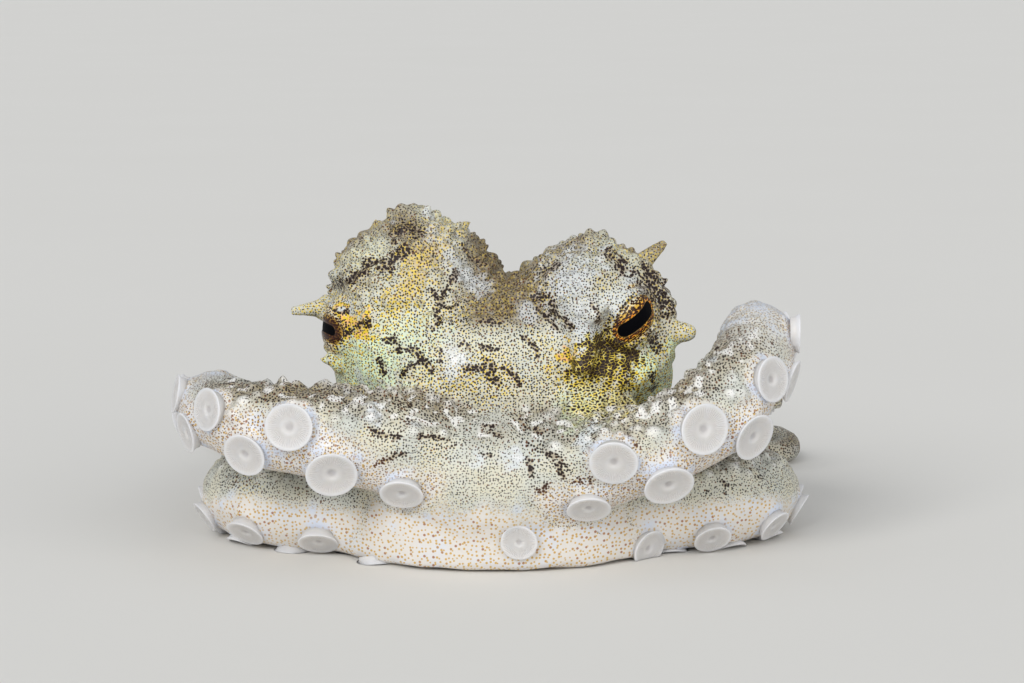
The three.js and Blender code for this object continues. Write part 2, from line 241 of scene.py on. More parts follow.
ARM_PLANS = (
    ArmPlan("left_1", 1, FRONT_ROOT, 42, 62, 3.6, 18, -1, tip_height=4.9, taper=1.5,
            sucker_share=1.05, first_sucker=2.5, first_row=1, second_row_from=5.0,
            bends=bends((5, 30, 6.4, 63), (4, 18, 7.4, 68), (4.5, 28, 9, 78), (5, 42, 11.8, 84),
                        (4, 24, 12.6, 84), (8, 6, 9.3, 75), (7, -4, 6.4, 60), (6, -4, 5.7, 60))),
    ArmPlan("right_1", -1, FRONT_ROOT, 46, 66, 3.3, 20, 1, tip_height=5.1, taper=1.4,
            sucker_share=1.05, first_sucker=5.8, first_row=-1, second_row_from=8.0,
            bends=bends((5, 28, 6.8, 68), (4.5, 14, 7.8, 76), (4, 20, 8.2, 84), (4, 40, 8.6, 88),
                        (4, 32, 8.6, 88), (8, -2, 7.4, 75), (7, 2, 6.3, 60), (4, 4, 5.6, 60))),
    ArmPlan("left_2", 1, SECOND_ROOT, 92, 20, 2.9, 22, -1,
            bends=bends((7, 8, 2.7, 30), (9, 80, 2.4, 45), (12, 9, 2, 50), (9, 3, 1.6, 50))),
    ArmPlan("right_2", -1, SECOND_ROOT, 92, 20, 2.9, 20, -1,
            bends=bends((6.5, 5, 2.7, 30), (9, 85, 2.4, 45), (7, 0, 2.1, 50), (9, 8, 1.8, 50),
                        (9, 2, 1.6, 50))),
    ArmPlan("left_3", 1, THIRD_ROOT, 116, 20, 2.7, 24, -1,
            bends=bends((7, 15, 2.6, 30), (8, 51, 2.2, 45), (10, 8, 2, 60), (15, 2, 1.6, 60))),
    ArmPlan("right_3", -1, THIRD_ROOT, 116, 20, 2.7, 21, -1,
            bends=bends((7, 15, 2.6, 30), (8, 54, 2.2, 45), (10, -1, 2, 60), (16, 4, 1.6, 60))),
    ArmPlan("left_4", 1, REAR_ROOT, 140, 10, 2.5, 22, 1,
            bends=bends((8, 34, 2.3, 30), (12, 14, 2, 45), (15, -4, 1.6, 60))),
    ArmPlan("right_4", -1, REAR_ROOT, 140, 10, 2.5, 14, 1,
            bends=bends((8, 34, 2.3, 30), (12, 10, 2, 45), (12, -10, 1.6, 60), (12, 20, 1.2, 60))),
)


class Arm:
    """An arm's centre line, its own axes and its suckers."""

    STEP = 0.25
    TIP_RADIUS = 0.42
    FLOOR_PRESS = 0.93
    COIL_CLEARANCE = 0.45
    TIP_BEND_RADIUS = 1.0
    COIL_EASE = 3.0

    SUCKER_DIAMETER = 2.8
    SPACING = (0.75, 0.95)
    YOUNG = 0.62
    GROWN_AT = 9.0
    LAST_SUCKER = 1.0

    def __init__(self, plan: ArmPlan) -> None:
        """Works out the centre line from the plan."""
        self.plan = plan
        self.length = sum(bend.length for bend in plan.bends) + plan.coil
        self._trace()
        self.suckers = list(self._place_suckers())

    def radius(self, s: Array | float) -> Array:
        """The arm's radius at arc length s."""
        left = 1.0 - np.clip(np.asarray(s) / self.length, 0.0, 1.0)
        return self.TIP_RADIUS + (self.plan.radius - self.TIP_RADIUS) * left**self.plan.taper

    def _coil_rates(self) -> list[float]:
        """Turn rates of the coil, in degrees per mm, by steps back from the tip."""
        rates = []
        bend_radius = self.TIP_BEND_RADIUS
        for i in range(int(self.plan.coil / self.STEP) + 2):
            rates.append(math.degrees(1.0 / bend_radius))
            pitch = 2.0 * float(self.radius(self.length - i * self.STEP)) + self.COIL_CLEARANCE
            bend_radius += pitch / (2.0 * math.pi) * self.STEP / bend_radius
        return rates

    def _trace(self) -> None:
        """Steps along the arm and stores its points and axes."""
        plan, step = self.plan, self.STEP
        ends = np.cumsum([bend.length for bend in plan.bends]).tolist()
        heights = [(0.0, plan.root[2])] + [(e, b.height) for e, b in zip(ends, plan.bends)]
        rolls = [(0.0, plan.roll)] + [(e, b.roll) for e, b in zip(ends, plan.bends)]
        heights.append((self.length, plan.tip_height))
        rolls.append((self.length, plan.bends[-1].roll))
        rates = self._coil_rates()

        def height(s: float) -> float:
            """The centre line's height, never lower than the arm can lie."""
            return max(catmull(heights, s), float(self.radius(s)) * self.FLOOR_PRESS)

        def rate(s: float) -> float:
            """The turn at s, in degrees per mm."""
            for end, bend in zip(ends, plan.bends):
                if s < end:
                    return bend.turn / bend.length
            ease = 0.5 + 0.5 * min(1.0, (s - ends[-1]) / self.COIL_EASE)
            return plan.curl * ease * rates[int((self.length - s) / step)]

        x, y = plan.root[:2]
        heading = plan.heading
        points, outward, angles = [], [], []
        steps = round(self.length / step)
        for i in range(steps + 1):
            s = i * step
            z = height(s)
            points.append((plan.side * x, y, z))
            facing = math.radians(heading)
            outward.append((-math.cos(facing) * plan.side, -math.sin(facing), 0.0))
            angles.append(math.radians(catmull(rolls, s)))
            turn = rate(min(s + step / 2, self.length)) * step
            rise = height(s + step) - z
            run = math.sqrt(max(step**2 - rise**2, 0.04 * step**2))
            middle = math.radians(heading + turn / 2)
            x += math.sin(middle) * run
            y -= math.cos(middle) * run
            heading += turn
        self.stations = np.arange(steps + 1) * step
        self.points = np.array(points)
        self.along = unit_rows(np.gradient(self.points, axis=0))
        side = np.array(outward)
        side = unit_rows(side - self.along * np.sum(side * self.along, axis=1, keepdims=True))
        up = np.cross(side, self.along) * plan.side
        roll = np.array(angles)[:, None]
        self.oral = side * np.sin(roll) - up * np.cos(roll)
        self.across = np.cross(self.along, self.oral)

    def at(self, s: Array | float) -> tuple[Array, Array, Array, Array]:
        """Point, along, oral and across at one or more arc lengths."""
        place = np.atleast_1d(np.asarray(s, float))

        def read(rows: Array) -> Array:
            """The rows, read between stations."""
            return np.stack([np.interp(place, self.stations, rows[:, k]) for k in range(3)], -1)

        axes = [unit_rows(read(rows)) for rows in (self.along, self.oral, self.across)]
        return read(self.points), *axes

    def surface(self, s: Array, turn: Array, extra: float = 0.0) -> Array:
        """Points on the arm's skin, where turn runs from across (0) by oral (a quarter turn).

        Args:
            s: arc length of each point.
            turn: angle round the arm of each point, in radians.
            extra: how far outside the arm's radius, in mm.

        Returns:
            One row per point.
        """
        point, _, oral, across = self.at(s)
        radius = self.radius(s) + extra
        cap = np.clip((s - (self.length - radius)) / radius, 0.0, 1.0)
        radius = radius * np.sqrt(np.maximum(1.0 - cap**2, 0.01))
        ring = across * np.cos(turn)[:, None] + oral * np.sin(turn)[:, None]
        return point + ring * radius[:, None]

    def _place_suckers(self) -> Iterator[Sucker]:
        """Every sucker of the arm, in two rows that take turns."""
        plan = self.plan
        row, s = plan.first_row, plan.first_sucker
        while s < self.length - self.LAST_SUCKER:
            young = min(1.0, self.YOUNG + (1.0 - self.YOUNG) * s / self.GROWN_AT)
            share = plan.sucker_share * float(self.radius(s))
            diameter = min(self.SUCKER_DIAMETER * young, share)
            if row == plan.first_row or s > plan.second_row_from:
                yield Sucker(s, diameter, row)
            share_of_way = s / self.length
            s += diameter * (self.SPACING[0] + (self.SPACING[1] - self.SPACING[0]) * share_of_way)
            row = -row


# ---- The body's forms -----------------------------------------------------------------


@dataclass(frozen=True)
class Blob:
    """An ellipsoid of flesh."""

    centre: Triple
    radii: Triple

    def add(self, bm: bmesh.types.BMesh) -> None:
        """Adds the ellipsoid to bm."""
        matrix = Matrix.Translation(self.centre) @ Matrix.Diagonal((*self.radii, 1.0))
        bmesh.ops.create_icosphere(bm, subdivisions=5, radius=1.0, matrix=matrix)

    def gap(self, points: Array) -> Array:
        """Roughly how far outside the ellipsoid each point is, in mm."""
        away = points - np.array(self.centre)
        share = np.linalg.norm(away / np.array(self.radii), axis=1)
        return (share - 1.0) * np.linalg.norm(away, axis=1) / np.maximum(share, 1e-6)


@dataclass(frozen=True)
class Spike:
    """A long soft papilla: its foot, direction, length and foot radius."""

    foot: Triple
    along: Triple
    length: float
    radius: float
    tip: float = 0.42

    def add(self, bm: bmesh.types.BMesh) -> None:
        """Adds the papilla to bm as a taper with a round tip and a flared foot."""
        place = Matrix.Translation(self.foot) @ turned_to(self.along)
        for reach, foot, end in ((1.0, 1.0, self.tip), (0.42, 1.55, 0.8)):
            depth = self.length * reach
            bmesh.ops.create_cone(bm, cap_ends=True, segments=20, radius1=self.radius * foot,
                                  radius2=self.radius * end, depth=depth,
                                  matrix=place @ Matrix.Translation((0, 0, depth / 2)))
        end = place @ Matrix.Translation((0, 0, self.length))
        bmesh.ops.create_icosphere(bm, subdivisions=2, radius=self.radius * self.tip, matrix=end)

    def gap(self, points: Array) -> Array:
        """How far each point is from the papilla's axis, in mm."""
        way = np.array(self.along) / np.linalg.norm(self.along)
        away = points - np.array(self.foot)
        share = np.clip(away @ way, 0.0, self.length)
        return np.linalg.norm(away - share[:, None] * way, axis=1)


@dataclass(frozen=True)
class Crown:
    """The web round the mouth: a low dome with a full front."""

    centre: Triple = (0.0, -0.3, 0.0)
    radii: Triple = (10.2, 8.6, 9.7)
    fullness: float = 2.4
    front: Blob = Blob((0.0, -5.2, 5.2), (6.6, 4.9, 4.4))
    steps: int = 24
    turns: int = 64

    def add(self, bm: bmesh.types.BMesh) -> None:
        """Spins the dome's rounded profile and adds the front."""
        rise = [math.sin(i / self.steps * math.pi / 2) for i in range(self.steps + 1)]
        spun(bm, [(0, 0)] + [(self._reach(height), height) for height in rise], self.turns)
        matrix = Matrix.Translation(self.centre) @ Matrix.Diagonal((*self.radii, 1.0))
        bmesh.ops.transform(bm, matrix=matrix, verts=bm.verts[:])
        bmesh.ops.remove_doubles(bm, verts=bm.verts[:], dist=1e-4)
        self.front.add(bm)

    def _reach(self, height: float) -> float:
        """The share of the footprint that the dome keeps at a share of its height."""
        return (1.0 - min(height, 1.0) ** self.fullness) ** (1.0 / self.fullness)


@dataclass(frozen=True)
class Mantle:
    """The sac behind the head: an egg whose rear end is drawn out."""

    centre: Triple = (0.0, 18.6, 8.0)
    radii: Triple = (10.0, 13.6, 5.2)
    point: float = 0.16
    spikes: tuple[Spike, ...] = (
        Spike((0.0, 25.6, 11.7), (0.0, 0.5, 1.0), 1.3, 0.8),
        Spike((4.8, 19.5, 12.0), (0.3, 0.1, 1.0), 1.2, 0.7),
        Spike((-4.8, 19.5, 12.0), (-0.3, 0.1, 1.0), 1.2, 0.7),
        Spike((0.0, 31.6, 8.2), (0.0, 1.0, 0.25), 1.5, 0.8),
    )

    def add(self, bm: bmesh.types.BMesh) -> None:
        """Adds the egg to bm."""
        egg = bmesh.ops.create_icosphere(bm, subdivisions=5, radius=1.0)["verts"]
        for vert in egg:
            rear = vert.co.y
            slim = 1.0 - self.point * rear * rear if rear > 0 else 1.0
            vert.co.x *= slim
            vert.co.z *= slim
        matrix = Matrix.Translation(self.centre) @ Matrix.Diagonal((*self.radii, 1.0))
        bmesh.ops.transform(bm, matrix=matrix, verts=egg)


@dataclass(frozen=True)
class Funnel:
    """The open tube that the animal breathes out through."""

    foot: Triple = (-7.4, 8.6, 6.1)
    along: Triple = (-0.9, -0.45, 0.12)
    length: float = 5.2
    foot_radius: float = 1.9
    mouth_radius: float = 1.15
    bore: float = 0.68
    depth: float = 3.4
    turns: int = 32

    def add(self, bm: bmesh.types.BMesh) -> None:
        """Spins the tube's outer wall, lip and bore as one closed shell."""
        lip = (self.mouth_radius + self.bore) / 2
        outline = ((0, 0), (self.foot_radius, 0), (self.mouth_radius * 1.12, self.length * 0.55),
                   (self.mouth_radius, self.length - 0.3), (lip, self.length),
                   (self.bore, self.length - 0.25), (self.bore * 0.9, self.length - self.depth),
                   (0, self.length - self.depth))
        before = set(bm.verts)
        spun(bm, outline, self.turns)
        tube = [vert for vert in bm.verts if vert not in before]
        place = Matrix.Translation(self.foot) @ turned_to(self.along)
        bmesh.ops.transform(bm, matrix=place, verts=tube)
        bmesh.ops.remove_doubles(bm, verts=tube, dist=1e-4)


@dataclass(frozen=True)
class Head:
    """The head: two eye mounds over a broad face, a neck, and soft spikes."""

    mound_left: Blob = Blob((5.5, -0.9, 13.0), (5.2, 5.7, 5.5))
    mound_right: Blob = Blob((-4.9, 1.2, 13.2), (5.7, 5.8, 6.7))
    face: Blob = Blob((0.2, -0.6, 11.2), (9.2, 6.4, 5.2))
    neck: Blob = Blob((0.0, 6.2, 9.2), (7.6, 6.5, 4.4))
    cheek: Blob = Blob((7.4, -0.3, 10.5), (3.25, 3.4, 2.5))
    knob_left: Blob = Blob((5.7, -0.9, 18.1), (1.1, 1.2, 0.9))
    knob_right: Blob = Blob((-5.1, 1.2, 19.4), (1.5, 1.5, 0.9))
    hood: Spike = Spike((5.1, -5.6, 14.9), (-0.03, -0.38, -0.9), 3.5, 1.4, tip=0.4)
    spikes: tuple[Spike, ...] = (
        Spike((-9.7, 1.5, 14.3), (-1.0, -0.3, -0.1), 2.6, 0.75),
        Spike((-9.5, -1.2, 11.3), (-1.0, -0.1, 0.1), 0.9, 0.5),
        Spike((8.1, -1.0, 16.7), (0.8, 0.0, 0.72), 2.3, 0.72, tip=0.5),
        Spike((9.6, -1.4, 13.0), (1.0, -0.1, 0.04), 1.75, 0.8, tip=0.72),
        Spike((2.7, -0.8, 16.6), (-0.7, -0.2, 0.7), 0.8, 0.5),
        Spike((7.4, -1.4, 17.4), (0.4, -0.3, 0.9), 0.7, 0.5),
        Spike((-6.9, 1.0, 18.8), (-0.5, 0.0, 0.8), 0.8, 0.5),
        Spike((-2.5, 1.4, 18.7), (0.7, 0.0, 0.6), 1.0, 0.55),
        Spike((-8.9, 0.8, 17.0), (-0.8, -0.1, 0.5), 0.9, 0.55),
    )

    def blobs(self) -> tuple[Blob, ...]:
        """The head's rounded masses."""
        return (self.mound_left, self.mound_right, self.face, self.neck, self.cheek)

    def spike_gap(self, points: Array) -> Array:
        """How far each point is from the nearest spike's axis, in mm."""
        return np.minimum.reduce([spike.gap(points) for spike in self.spikes])


@dataclass(frozen=True)
class EyePlan:
    """An eyeball: its centre, where it looks, how its bar pupil slants, in degrees, the end of
    the bar, 1 or -1, that the thick rear lid lies past, and how brown it is round the bar."""

    name: str
    centre: Triple
    azimuth: float
    elevation: float
    slant: float
    rear: int
    radius: float = 2.6
    opening: Pair = (2.12, 1.22)
    bar: Pair = (1.66, 0.37)
    bow: float = 0.07
    veil: float = 0.0

    def axes(self) -> Array:
        """Rows: along the bar pupil, across it, and out along the gaze."""
        turn = math.radians(self.azimuth)
        gaze = np.array(pointing(self.azimuth, self.elevation))
        level = np.array([math.cos(turn), math.sin(turn), 0.0])
        rise = np.cross(gaze, level)
        slant = math.radians(self.slant)
        bar = level * math.cos(slant) + rise * math.sin(slant)
        return np.array([bar, np.cross(gaze, bar), gaze])

    def plan(self, points: Array) -> Array:
        """Points in the eye's own axes, in mm from its centre."""
        return (points - np.array(self.centre)) @ self.axes().T

    def ring(self, place: Array) -> Array:
        """How far out each place in the eye's own axes is, as a share of the opening."""
        return np.hypot(place[:, 0] / self.opening[0], place[:, 1] / self.opening[1])

    def rearward(self, place: Array) -> Array:
        """How far each place lies toward the rear lid, from -1 to 1."""
        return place[:, 0] * self.rear / np.maximum(np.hypot(place[:, 0], place[:, 1]), 1e-6)


EYES = (
    EyePlan("eye_left", (6.7, -3.2, 14.1), 40.0, 5.0, 30.0, 1, bar=(1.54, 0.43), bow=-0.03),
    EyePlan("eye_right", (-7.9, -0.3, 13.1), -80.0, 4.0, 2.0, -1, bar=(1.66, 0.3), veil=0.9),
)
HEAD = Head()
CROWN = Crown()
MANTLE = Mantle()
FUNNEL = Funnel()


# ---- Markings -------------------------------------------------------------------------


class Pigment(Enum):
    """What a vertex of the skin can carry, by the name of its attribute."""

    DARK = "dark"        # how far the dark spots spread
    GOLD = "gold"        # golden ground and larger yellow spots
    TINT_AND_SHEEN = "sheen"      # greenish blue tint under the spots, lightened as a painted sheen
    PALE_AND_SHINE = "pale"        # whitish, with small spots; also painted glints, and the painted blue shine of the suckers' side
    BROWN_AND_SHADE = "dusk"        # brown, and painted shade in the crease under the head and the dip between the mounds
    FLESH = "flesh"      # clear flesh of the suckers' side
    KNOB = "knob"        # tips of papillae
    NET = "net"          # dark scales with yellow lines between them


@dataclass(frozen=True)
class Stroke:
    """A marking laid on from the front: points across and up, in mm, width and strength."""

    pigment: Pigment
    width: float
    points: tuple[Pair, ...]
    strength: float = 1.0

    def weight(self, plane: Array, ragged: Array) -> Array:
        """How strongly each place on the plane is marked.

        Args:
            plane: across and up of each vertex, in mm.
            ragged: noise that frays the stroke's edge.

        Returns:
            A weight from 0 to strength for each vertex.
        """
        nearest = np.full(len(plane), 1e3)
        for start, end in zip(self.points, self.points[1:] or self.points):
            first, way = np.array(start), np.array(end) - np.array(start)
            share = np.clip((plane - first) @ way / max(float(way @ way), 1e-9), 0.0, 1.0)
            nearest = np.minimum(nearest, np.linalg.norm(plane - first - share[:, None] * way, axis=1))
        reach = self.width / 2
        return self.strength * smooth_between(reach * 2.0, reach * 0.3, nearest + 1.7 * ragged * reach)


def line(pigment: Pigment, width: float, *points: Pair, strength: float = 1.0) -> Stroke:
    """A stroke through points."""
    return Stroke(pigment, width, points, strength)


def dark(width: float, *points: Pair, strength: float = 0.88) -> Stroke:
    """A dark stroke."""
    return line(Pigment.DARK, width, *points, strength=strength)


def patch(pigment: Pigment, across: float, up: float, radius: float, strength: float = 1.0) -> Stroke:
    """A soft round patch."""
    return Stroke(pigment, radius * 2, ((across, up),), strength)


FACE_MARKS = (
    # The animal's right mound.
    dark(0.6, (-9.6, 15.6), (-8.8, 16.1), (-7.9, 16.6), (-7.3, 17.1), (-6.1, 17.2), (-5.5, 17.9)),
    dark(0.6, (-7.3, 17.1), (-7.0, 16.5), (-6.4, 16.7)),
    dark(0.5, (-6.1, 18.3), (-6.1, 18.9), (-5.5, 19.2), (-4.6, 18.8)),
    dark(0.35, (-2.5, 16.5), (-2.7, 16.0), (-3.2, 15.2), (-3.4, 14.6), (-3.6, 14.0), (-3.4, 13.5)),
    dark(0.35, (-3.9, 15.5), (-3.4, 14.6), (-2.9, 14.3), (-2.4, 14.5)),
    dark(0.3, (-3.5, 13.5), (-3.9, 13.1)),
    dark(0.3, (-2.0, 18.0), (-1.6, 17.4), (-0.6, 16.9), strength=0.7),
    # Its right cheek.
    dark(0.35, (-6.7, 12.3), (-6.1, 12.5), (-6.1, 11.9), (-5.0, 11.9), (-4.5, 11.2), (-3.9, 10.6)),
    dark(0.35, (-4.5, 11.1), (-5.1, 10.8), (-5.7, 10.3)),
    dark(0.3, (-3.4, 11.7), (-3.4, 11.0)),
    dark(0.3, (-7.3, 11.2), (-6.9, 11.0), (-6.8, 10.4)),
    # The middle of the face.
    dark(0.35, (-2.1, 12.1), (-1.8, 11.9)),
    dark(0.3, (-0.9, 13.5), (0.1, 13.4)),
    dark(0.3, (-0.9, 12.0), (0.0, 11.8)),
    dark(0.45, (-1.9, 10.6), (-0.7, 10.6), (0.1, 9.8)),
    dark(0.6, (-0.6, 10.9), (-0.1, 9.9), strength=0.85),
    dark(0.3, (0.3, 10.7), (0.8, 10.5), (1.4, 9.7)),
    dark(0.25, (1.5, 12.6), (2.3, 11.9), (2.5, 11.2), strength=0.8),
    # The animal's left mound.
    dark(0.4, (2.3, 14.9), (3.1, 14.9), (3.4, 14.5), (3.4, 14.0), (4.0, 13.7), (4.4, 13.1)),
    dark(0.3, (2.5, 14.3), (2.9, 13.7), (3.8, 12.9), strength=0.85),
    dark(0.35, (5.7, 14.5), (6.1, 14.1), (6.0, 13.4), strength=0.9),
    dark(0.5, (6.7, 17.6), (7.2, 17.2), (7.6, 16.5), strength=0.9),
    dark(0.5, (3.6, 17.0), (2.8, 16.4), strength=0.8),
    # Behind and below its left eye.
    dark(1.3, (9.0, 16.3), (9.9, 15.4), (10.3, 14.2), strength=0.9),
    dark(0.5, (9.2, 12.6), (9.7, 11.8), strength=0.9),
    dark(0.3, (9.3, 10.2), (9.4, 9.3), strength=0.8),
    dark(1.0, (5.6, 11.7), (6.5, 12.2), (7.4, 12.2), (8.0, 11.6), strength=0.9),
    dark(0.6, (8.0, 11.4), (7.8, 10.2), (7.6, 9.3), strength=0.75),
    dark(0.6, (9.4, 10.4), (9.4, 9.4), strength=0.6),
    line(Pigment.NET, 1.3, (5.7, 11.8), (6.8, 12.2), (7.7, 12.0), (7.9, 11.3)),
    line(Pigment.NET, 1.2, (4.9, 10.7), (6.0, 10.5), (6.6, 10.7)),
    line(Pigment.NET, 1.6, (5.8, 11.1), (7.4, 10.8), strength=0.8),
    line(Pigment.NET, 2.0, (5.2, 9.4), (7.4, 9.3), strength=0.6),
    line(Pigment.NET, 1.7, (5.2, 8.3), (7.4, 8.6), strength=0.55),
    line(Pigment.GOLD, 1.8, (5.0, 8.8), (7.4, 9.0), strength=0.5),
    # A patch of painted sheen below the left eye.
    patch(Pigment.TINT_AND_SHEEN, 5.2, 8.6, 1.2, 0.5),
    dark(1.1, (-10.3, 12.9), (-10.0, 12.2), strength=0.75),
    # The band across the front.
    dark(0.3, (-7.6, 6.9), (-6.7, 6.6), (-5.8, 6.5)),
    dark(0.3, (-4.7, 6.5), (-3.7, 6.5), (-3.1, 6.3)),
    dark(0.25, (-7.3, 4.8), (-6.1, 5.4), (-5.5, 5.4)),
    dark(0.25, (-0.9, 7.2), (0.0, 7.2)),
    dark(0.25, (-0.4, 6.9), (0.2, 6.5)),
    dark(0.3, (1.4, 7.4), (2.0, 7.0), (2.7, 6.8)),
    dark(0.4, (1.9, 5.1), (2.1, 4.3)),
    dark(0.3, (3.0, 5.4), (3.7, 5.2), (3.7, 4.6), (4.0, 4.1)),
    dark(0.3, (4.7, 3.7), (5.6, 3.9)),
    dark(0.3, (2.1, 3.5), (2.7, 3.1), (3.0, 3.6)),
    dark(0.25, (-0.8, 5.4), (0.0, 5.3)),
    dark(0.25, (7.9, 6.5), (8.5, 5.8)),
    dark(0.5, (1.7, 6.0), (3.2, 5.8), strength=0.55),
    # Gold.
    line(Pigment.GOLD, 2.2, (-3.6, 18.1), (-4.6, 17.3), (-4.8, 16.3), (-5.2, 15.4), (-6.0, 14.7),
         strength=0.74),
    line(Pigment.GOLD, 1.5, (-3.9, 17.8), (-4.5, 16.7), strength=0.73),
    patch(Pigment.GOLD, 4.2, 11.3, 0.62, 1.0),
    dark(0.4, (3.7, 10.8), (4.6, 10.9), (5.2, 11.3), strength=0.75),
    line(Pigment.GOLD, 2.5, (4.8, 10.9), (6.4, 10.6), (7.3, 10.4), strength=0.82),
    patch(Pigment.GOLD, 8.6, 10.0, 0.8, 0.65),
    patch(Pigment.GOLD, 9.8, 11.5, 0.7, 0.55),
    dark(1.2, (-9.9, 11.5), (-9.3, 10.4), strength=0.5),
    line(Pigment.GOLD, 1.7, (-9.5, 13.5), (-8.2, 13.2)),
    patch(Pigment.GOLD, -10.0, 12.2, 1.0, 0.7),
    patch(Pigment.GOLD, 2.4, 15.8, 0.9, 0.5),
    line(Pigment.GOLD, 2.0, (-2.4, 10.2), (0.0, 10.4), strength=0.58),
    # The right eye's bar runs on over the skin toward the face.
    dark(0.5, (-10.7, 13.4), (-10.2, 13.0), (-9.4, 12.9), (-8.5, 13.1), (-7.7, 13.5)),
    dark(0.3, (-9.9, 12.95), (-9.0, 12.95), (-8.3, 13.15), (-7.7, 13.5), strength=1.0),
    dark(0.8, (-10.4, 13.1), (-9.8, 12.95), strength=1.0),
    dark(0.25, (-10.2, 14.0), (-9.6, 14.1), (-8.9, 14.15)),
    # Pale places, patches of painted sheen, and a thin brown line behind the left eye.
    line(Pigment.PALE_AND_SHINE, 0.9, (-3.9, 18.8), (-3.0, 18.0), (-2.8, 17.1), (-2.0, 16.3), (-1.0, 15.6),
         strength=0.8),
    line(Pigment.PALE_AND_SHINE, 2.6, (4.3, 16.2), (4.7, 14.8), (5.0, 13.2), strength=0.85),
    line(Pigment.PALE_AND_SHINE, 0.9, (4.9, 13.2), (4.9, 11.9), strength=0.95),
    line(Pigment.PALE_AND_SHINE, 1.5, (6.9, 14.6), (8.0, 15.6), strength=0.7),
    patch(Pigment.PALE_AND_SHINE, -2.5, 11.2, 0.6),
    patch(Pigment.KNOB, -2.5, 11.3, 0.42, 0.75),
    patch(Pigment.KNOB, 1.1, 5.3, 0.4, 0.6),
    patch(Pigment.PALE_AND_SHINE, -7.3, 7.9, 0.45),
    patch(Pigment.PALE_AND_SHINE, -1.2, 5.1, 0.35),
    patch(Pigment.PALE_AND_SHINE, 1.1, 5.2, 0.6),
    patch(Pigment.PALE_AND_SHINE, 5.2, 6.2, 0.4),
    patch(Pigment.PALE_AND_SHINE, 5.7, 7.2, 0.4),
    patch(Pigment.TINT_AND_SHEEN, -8.1, 11.2, 1.7, 0.9),
    patch(Pigment.TINT_AND_SHEEN, -8.5, 9.7, 1.2, 0.7),
    patch(Pigment.TINT_AND_SHEEN, -5.6, 12.6, 1.6, 0.45),
    line(Pigment.TINT_AND_SHEEN, 1.7, (8.9, 10.8), (9.6, 9.4), strength=0.9),
    line(Pigment.TINT_AND_SHEEN, 0.6, (10.5, 12.0), (10.6, 9.8), strength=0.9),
    patch(Pigment.TINT_AND_SHEEN, 8.6, 9.6, 0.7, 0.8),
    line(Pigment.BROWN_AND_SHADE, 0.32, (8.5, 15.6), (9.2, 15.05), (9.65, 14.1), (9.55, 13.4), strength=0.9),
    # The shaded dip between the mounds.
    line(Pigment.BROWN_AND_SHADE, 2.4, (-1.6, 16.6), (0.3, 15.4), (2.2, 16.0), strength=0.8),
    line(Pigment.BROWN_AND_SHADE, 1.6, (-4.5, 19.6), (-2.2, 18.0), strength=0.5),
)


# ---- The skin -------------------------------------------------------------------------


@dataclass(frozen=True)
class PapillaField:
    """A stretch of skin set with small papillae: how far apart, how wide and how high."""

    spacing: float
    radius: Pair
    height: Pair
    seed: int
    sharpness: float = 1.5


class Surface:
    """A mesh whose vertices are moved and marked as arrays."""

    def __init__(self, mesh: bpy.types.Mesh) -> None:
        """Reads the mesh's vertices and edges."""
        self.mesh = mesh
        self.count = len(mesh.vertices)
        self.points = self._read(mesh.vertices, "co")
        ends = np.empty(len(mesh.edges) * 2, np.int64)
        mesh.edges.foreach_get("vertices", ends)
        self.edges = ends.reshape(-1, 2)
        self.normals = self._read(mesh.vertices, "normal")

    def _read(self, items: bpy.types.bpy_prop_collection, name: str) -> Array:
        """A vector property of every item as rows."""
        flat = np.empty(len(items) * 3, np.float32)
        items.foreach_get(name, flat)
        return flat.reshape(-1, 3).astype(float)

    def update(self) -> None:
        """Writes the moved vertices back and reads their new normals."""
        self.mesh.vertices.foreach_set("co", self.points.astype(np.float32).ravel())
        self.mesh.update()
        self.normals = self._read(self.mesh.vertices, "normal")

    def relaxed(self, values: Array, rounds: int, share: float = 0.5) -> Array:
        """The values, each drawn toward its neighbours' mean a number of times."""
        first, second = self.edges.T
        degree = np.bincount(self.edges.ravel(), minlength=self.count)[:, None]
        rows = values.reshape(self.count, -1).astype(float)
        for _ in range(rounds):
            total = np.stack([
                np.bincount(first, rows[second, k], self.count)
                + np.bincount(second, rows[first, k], self.count)
                for k in range(rows.shape[1])], -1)
            rows = rows * (1.0 - share) + total / np.maximum(degree, 1) * share
        return rows.reshape(values.shape)

    def push(self, depth: Array) -> None:
        """Moves each vertex along its normal by its depth, in mm."""
        self.points += self.normals * depth[:, None]
        self.update()

    def carry(self, name: str, values: Array) -> None:
        """Stores a number or a row of three for each vertex as an attribute."""
        kind, part = ("FLOAT", "value") if values.ndim == 1 else ("FLOAT_VECTOR", "vector")
        layer = self.mesh.attributes.new(name, kind, "POINT")
        layer.data.foreach_set(part, np.asarray(values, np.float32).ravel())


def fused(bm: bmesh.types.BMesh, voxel: float, rounds: int) -> bpy.types.Mesh:
    """One closed surface round all of bm's shells.

    Args:
        bm: closed shells that may overlap. It is freed.
        voxel: size of the remesh, in mm.
        rounds: how many times the result is smoothed.

    Returns:
        The new mesh.
    """
    body = linked("shells", meshed(bm, "shells"))
    remesh = body.modifiers.new("fuse", "REMESH")
    remesh.mode = "VOXEL"
    remesh.voxel_size = voxel
    soften = body.modifiers.new("soften", "SMOOTH")
    soften.factor = 0.5
    soften.iterations = rounds
    return applied(body)


@dataclass(frozen=True)
class FrontZone:
    """What shows from the front: ahead of a depth, above a height, within a half width, and
    turned forward, or up by a share, more than a limit."""

    ahead_of: float
    above: float
    within: float
    lift: float
    turned: float

    def holds(self, place: Vector, normal: Vector) -> bool:
        """Whether a place with a normal shows."""
        x, y, z = place
        turned = -normal.y + self.lift * normal.z > self.turned
        return y < self.ahead_of and z > self.above and abs(x) < self.within and turned


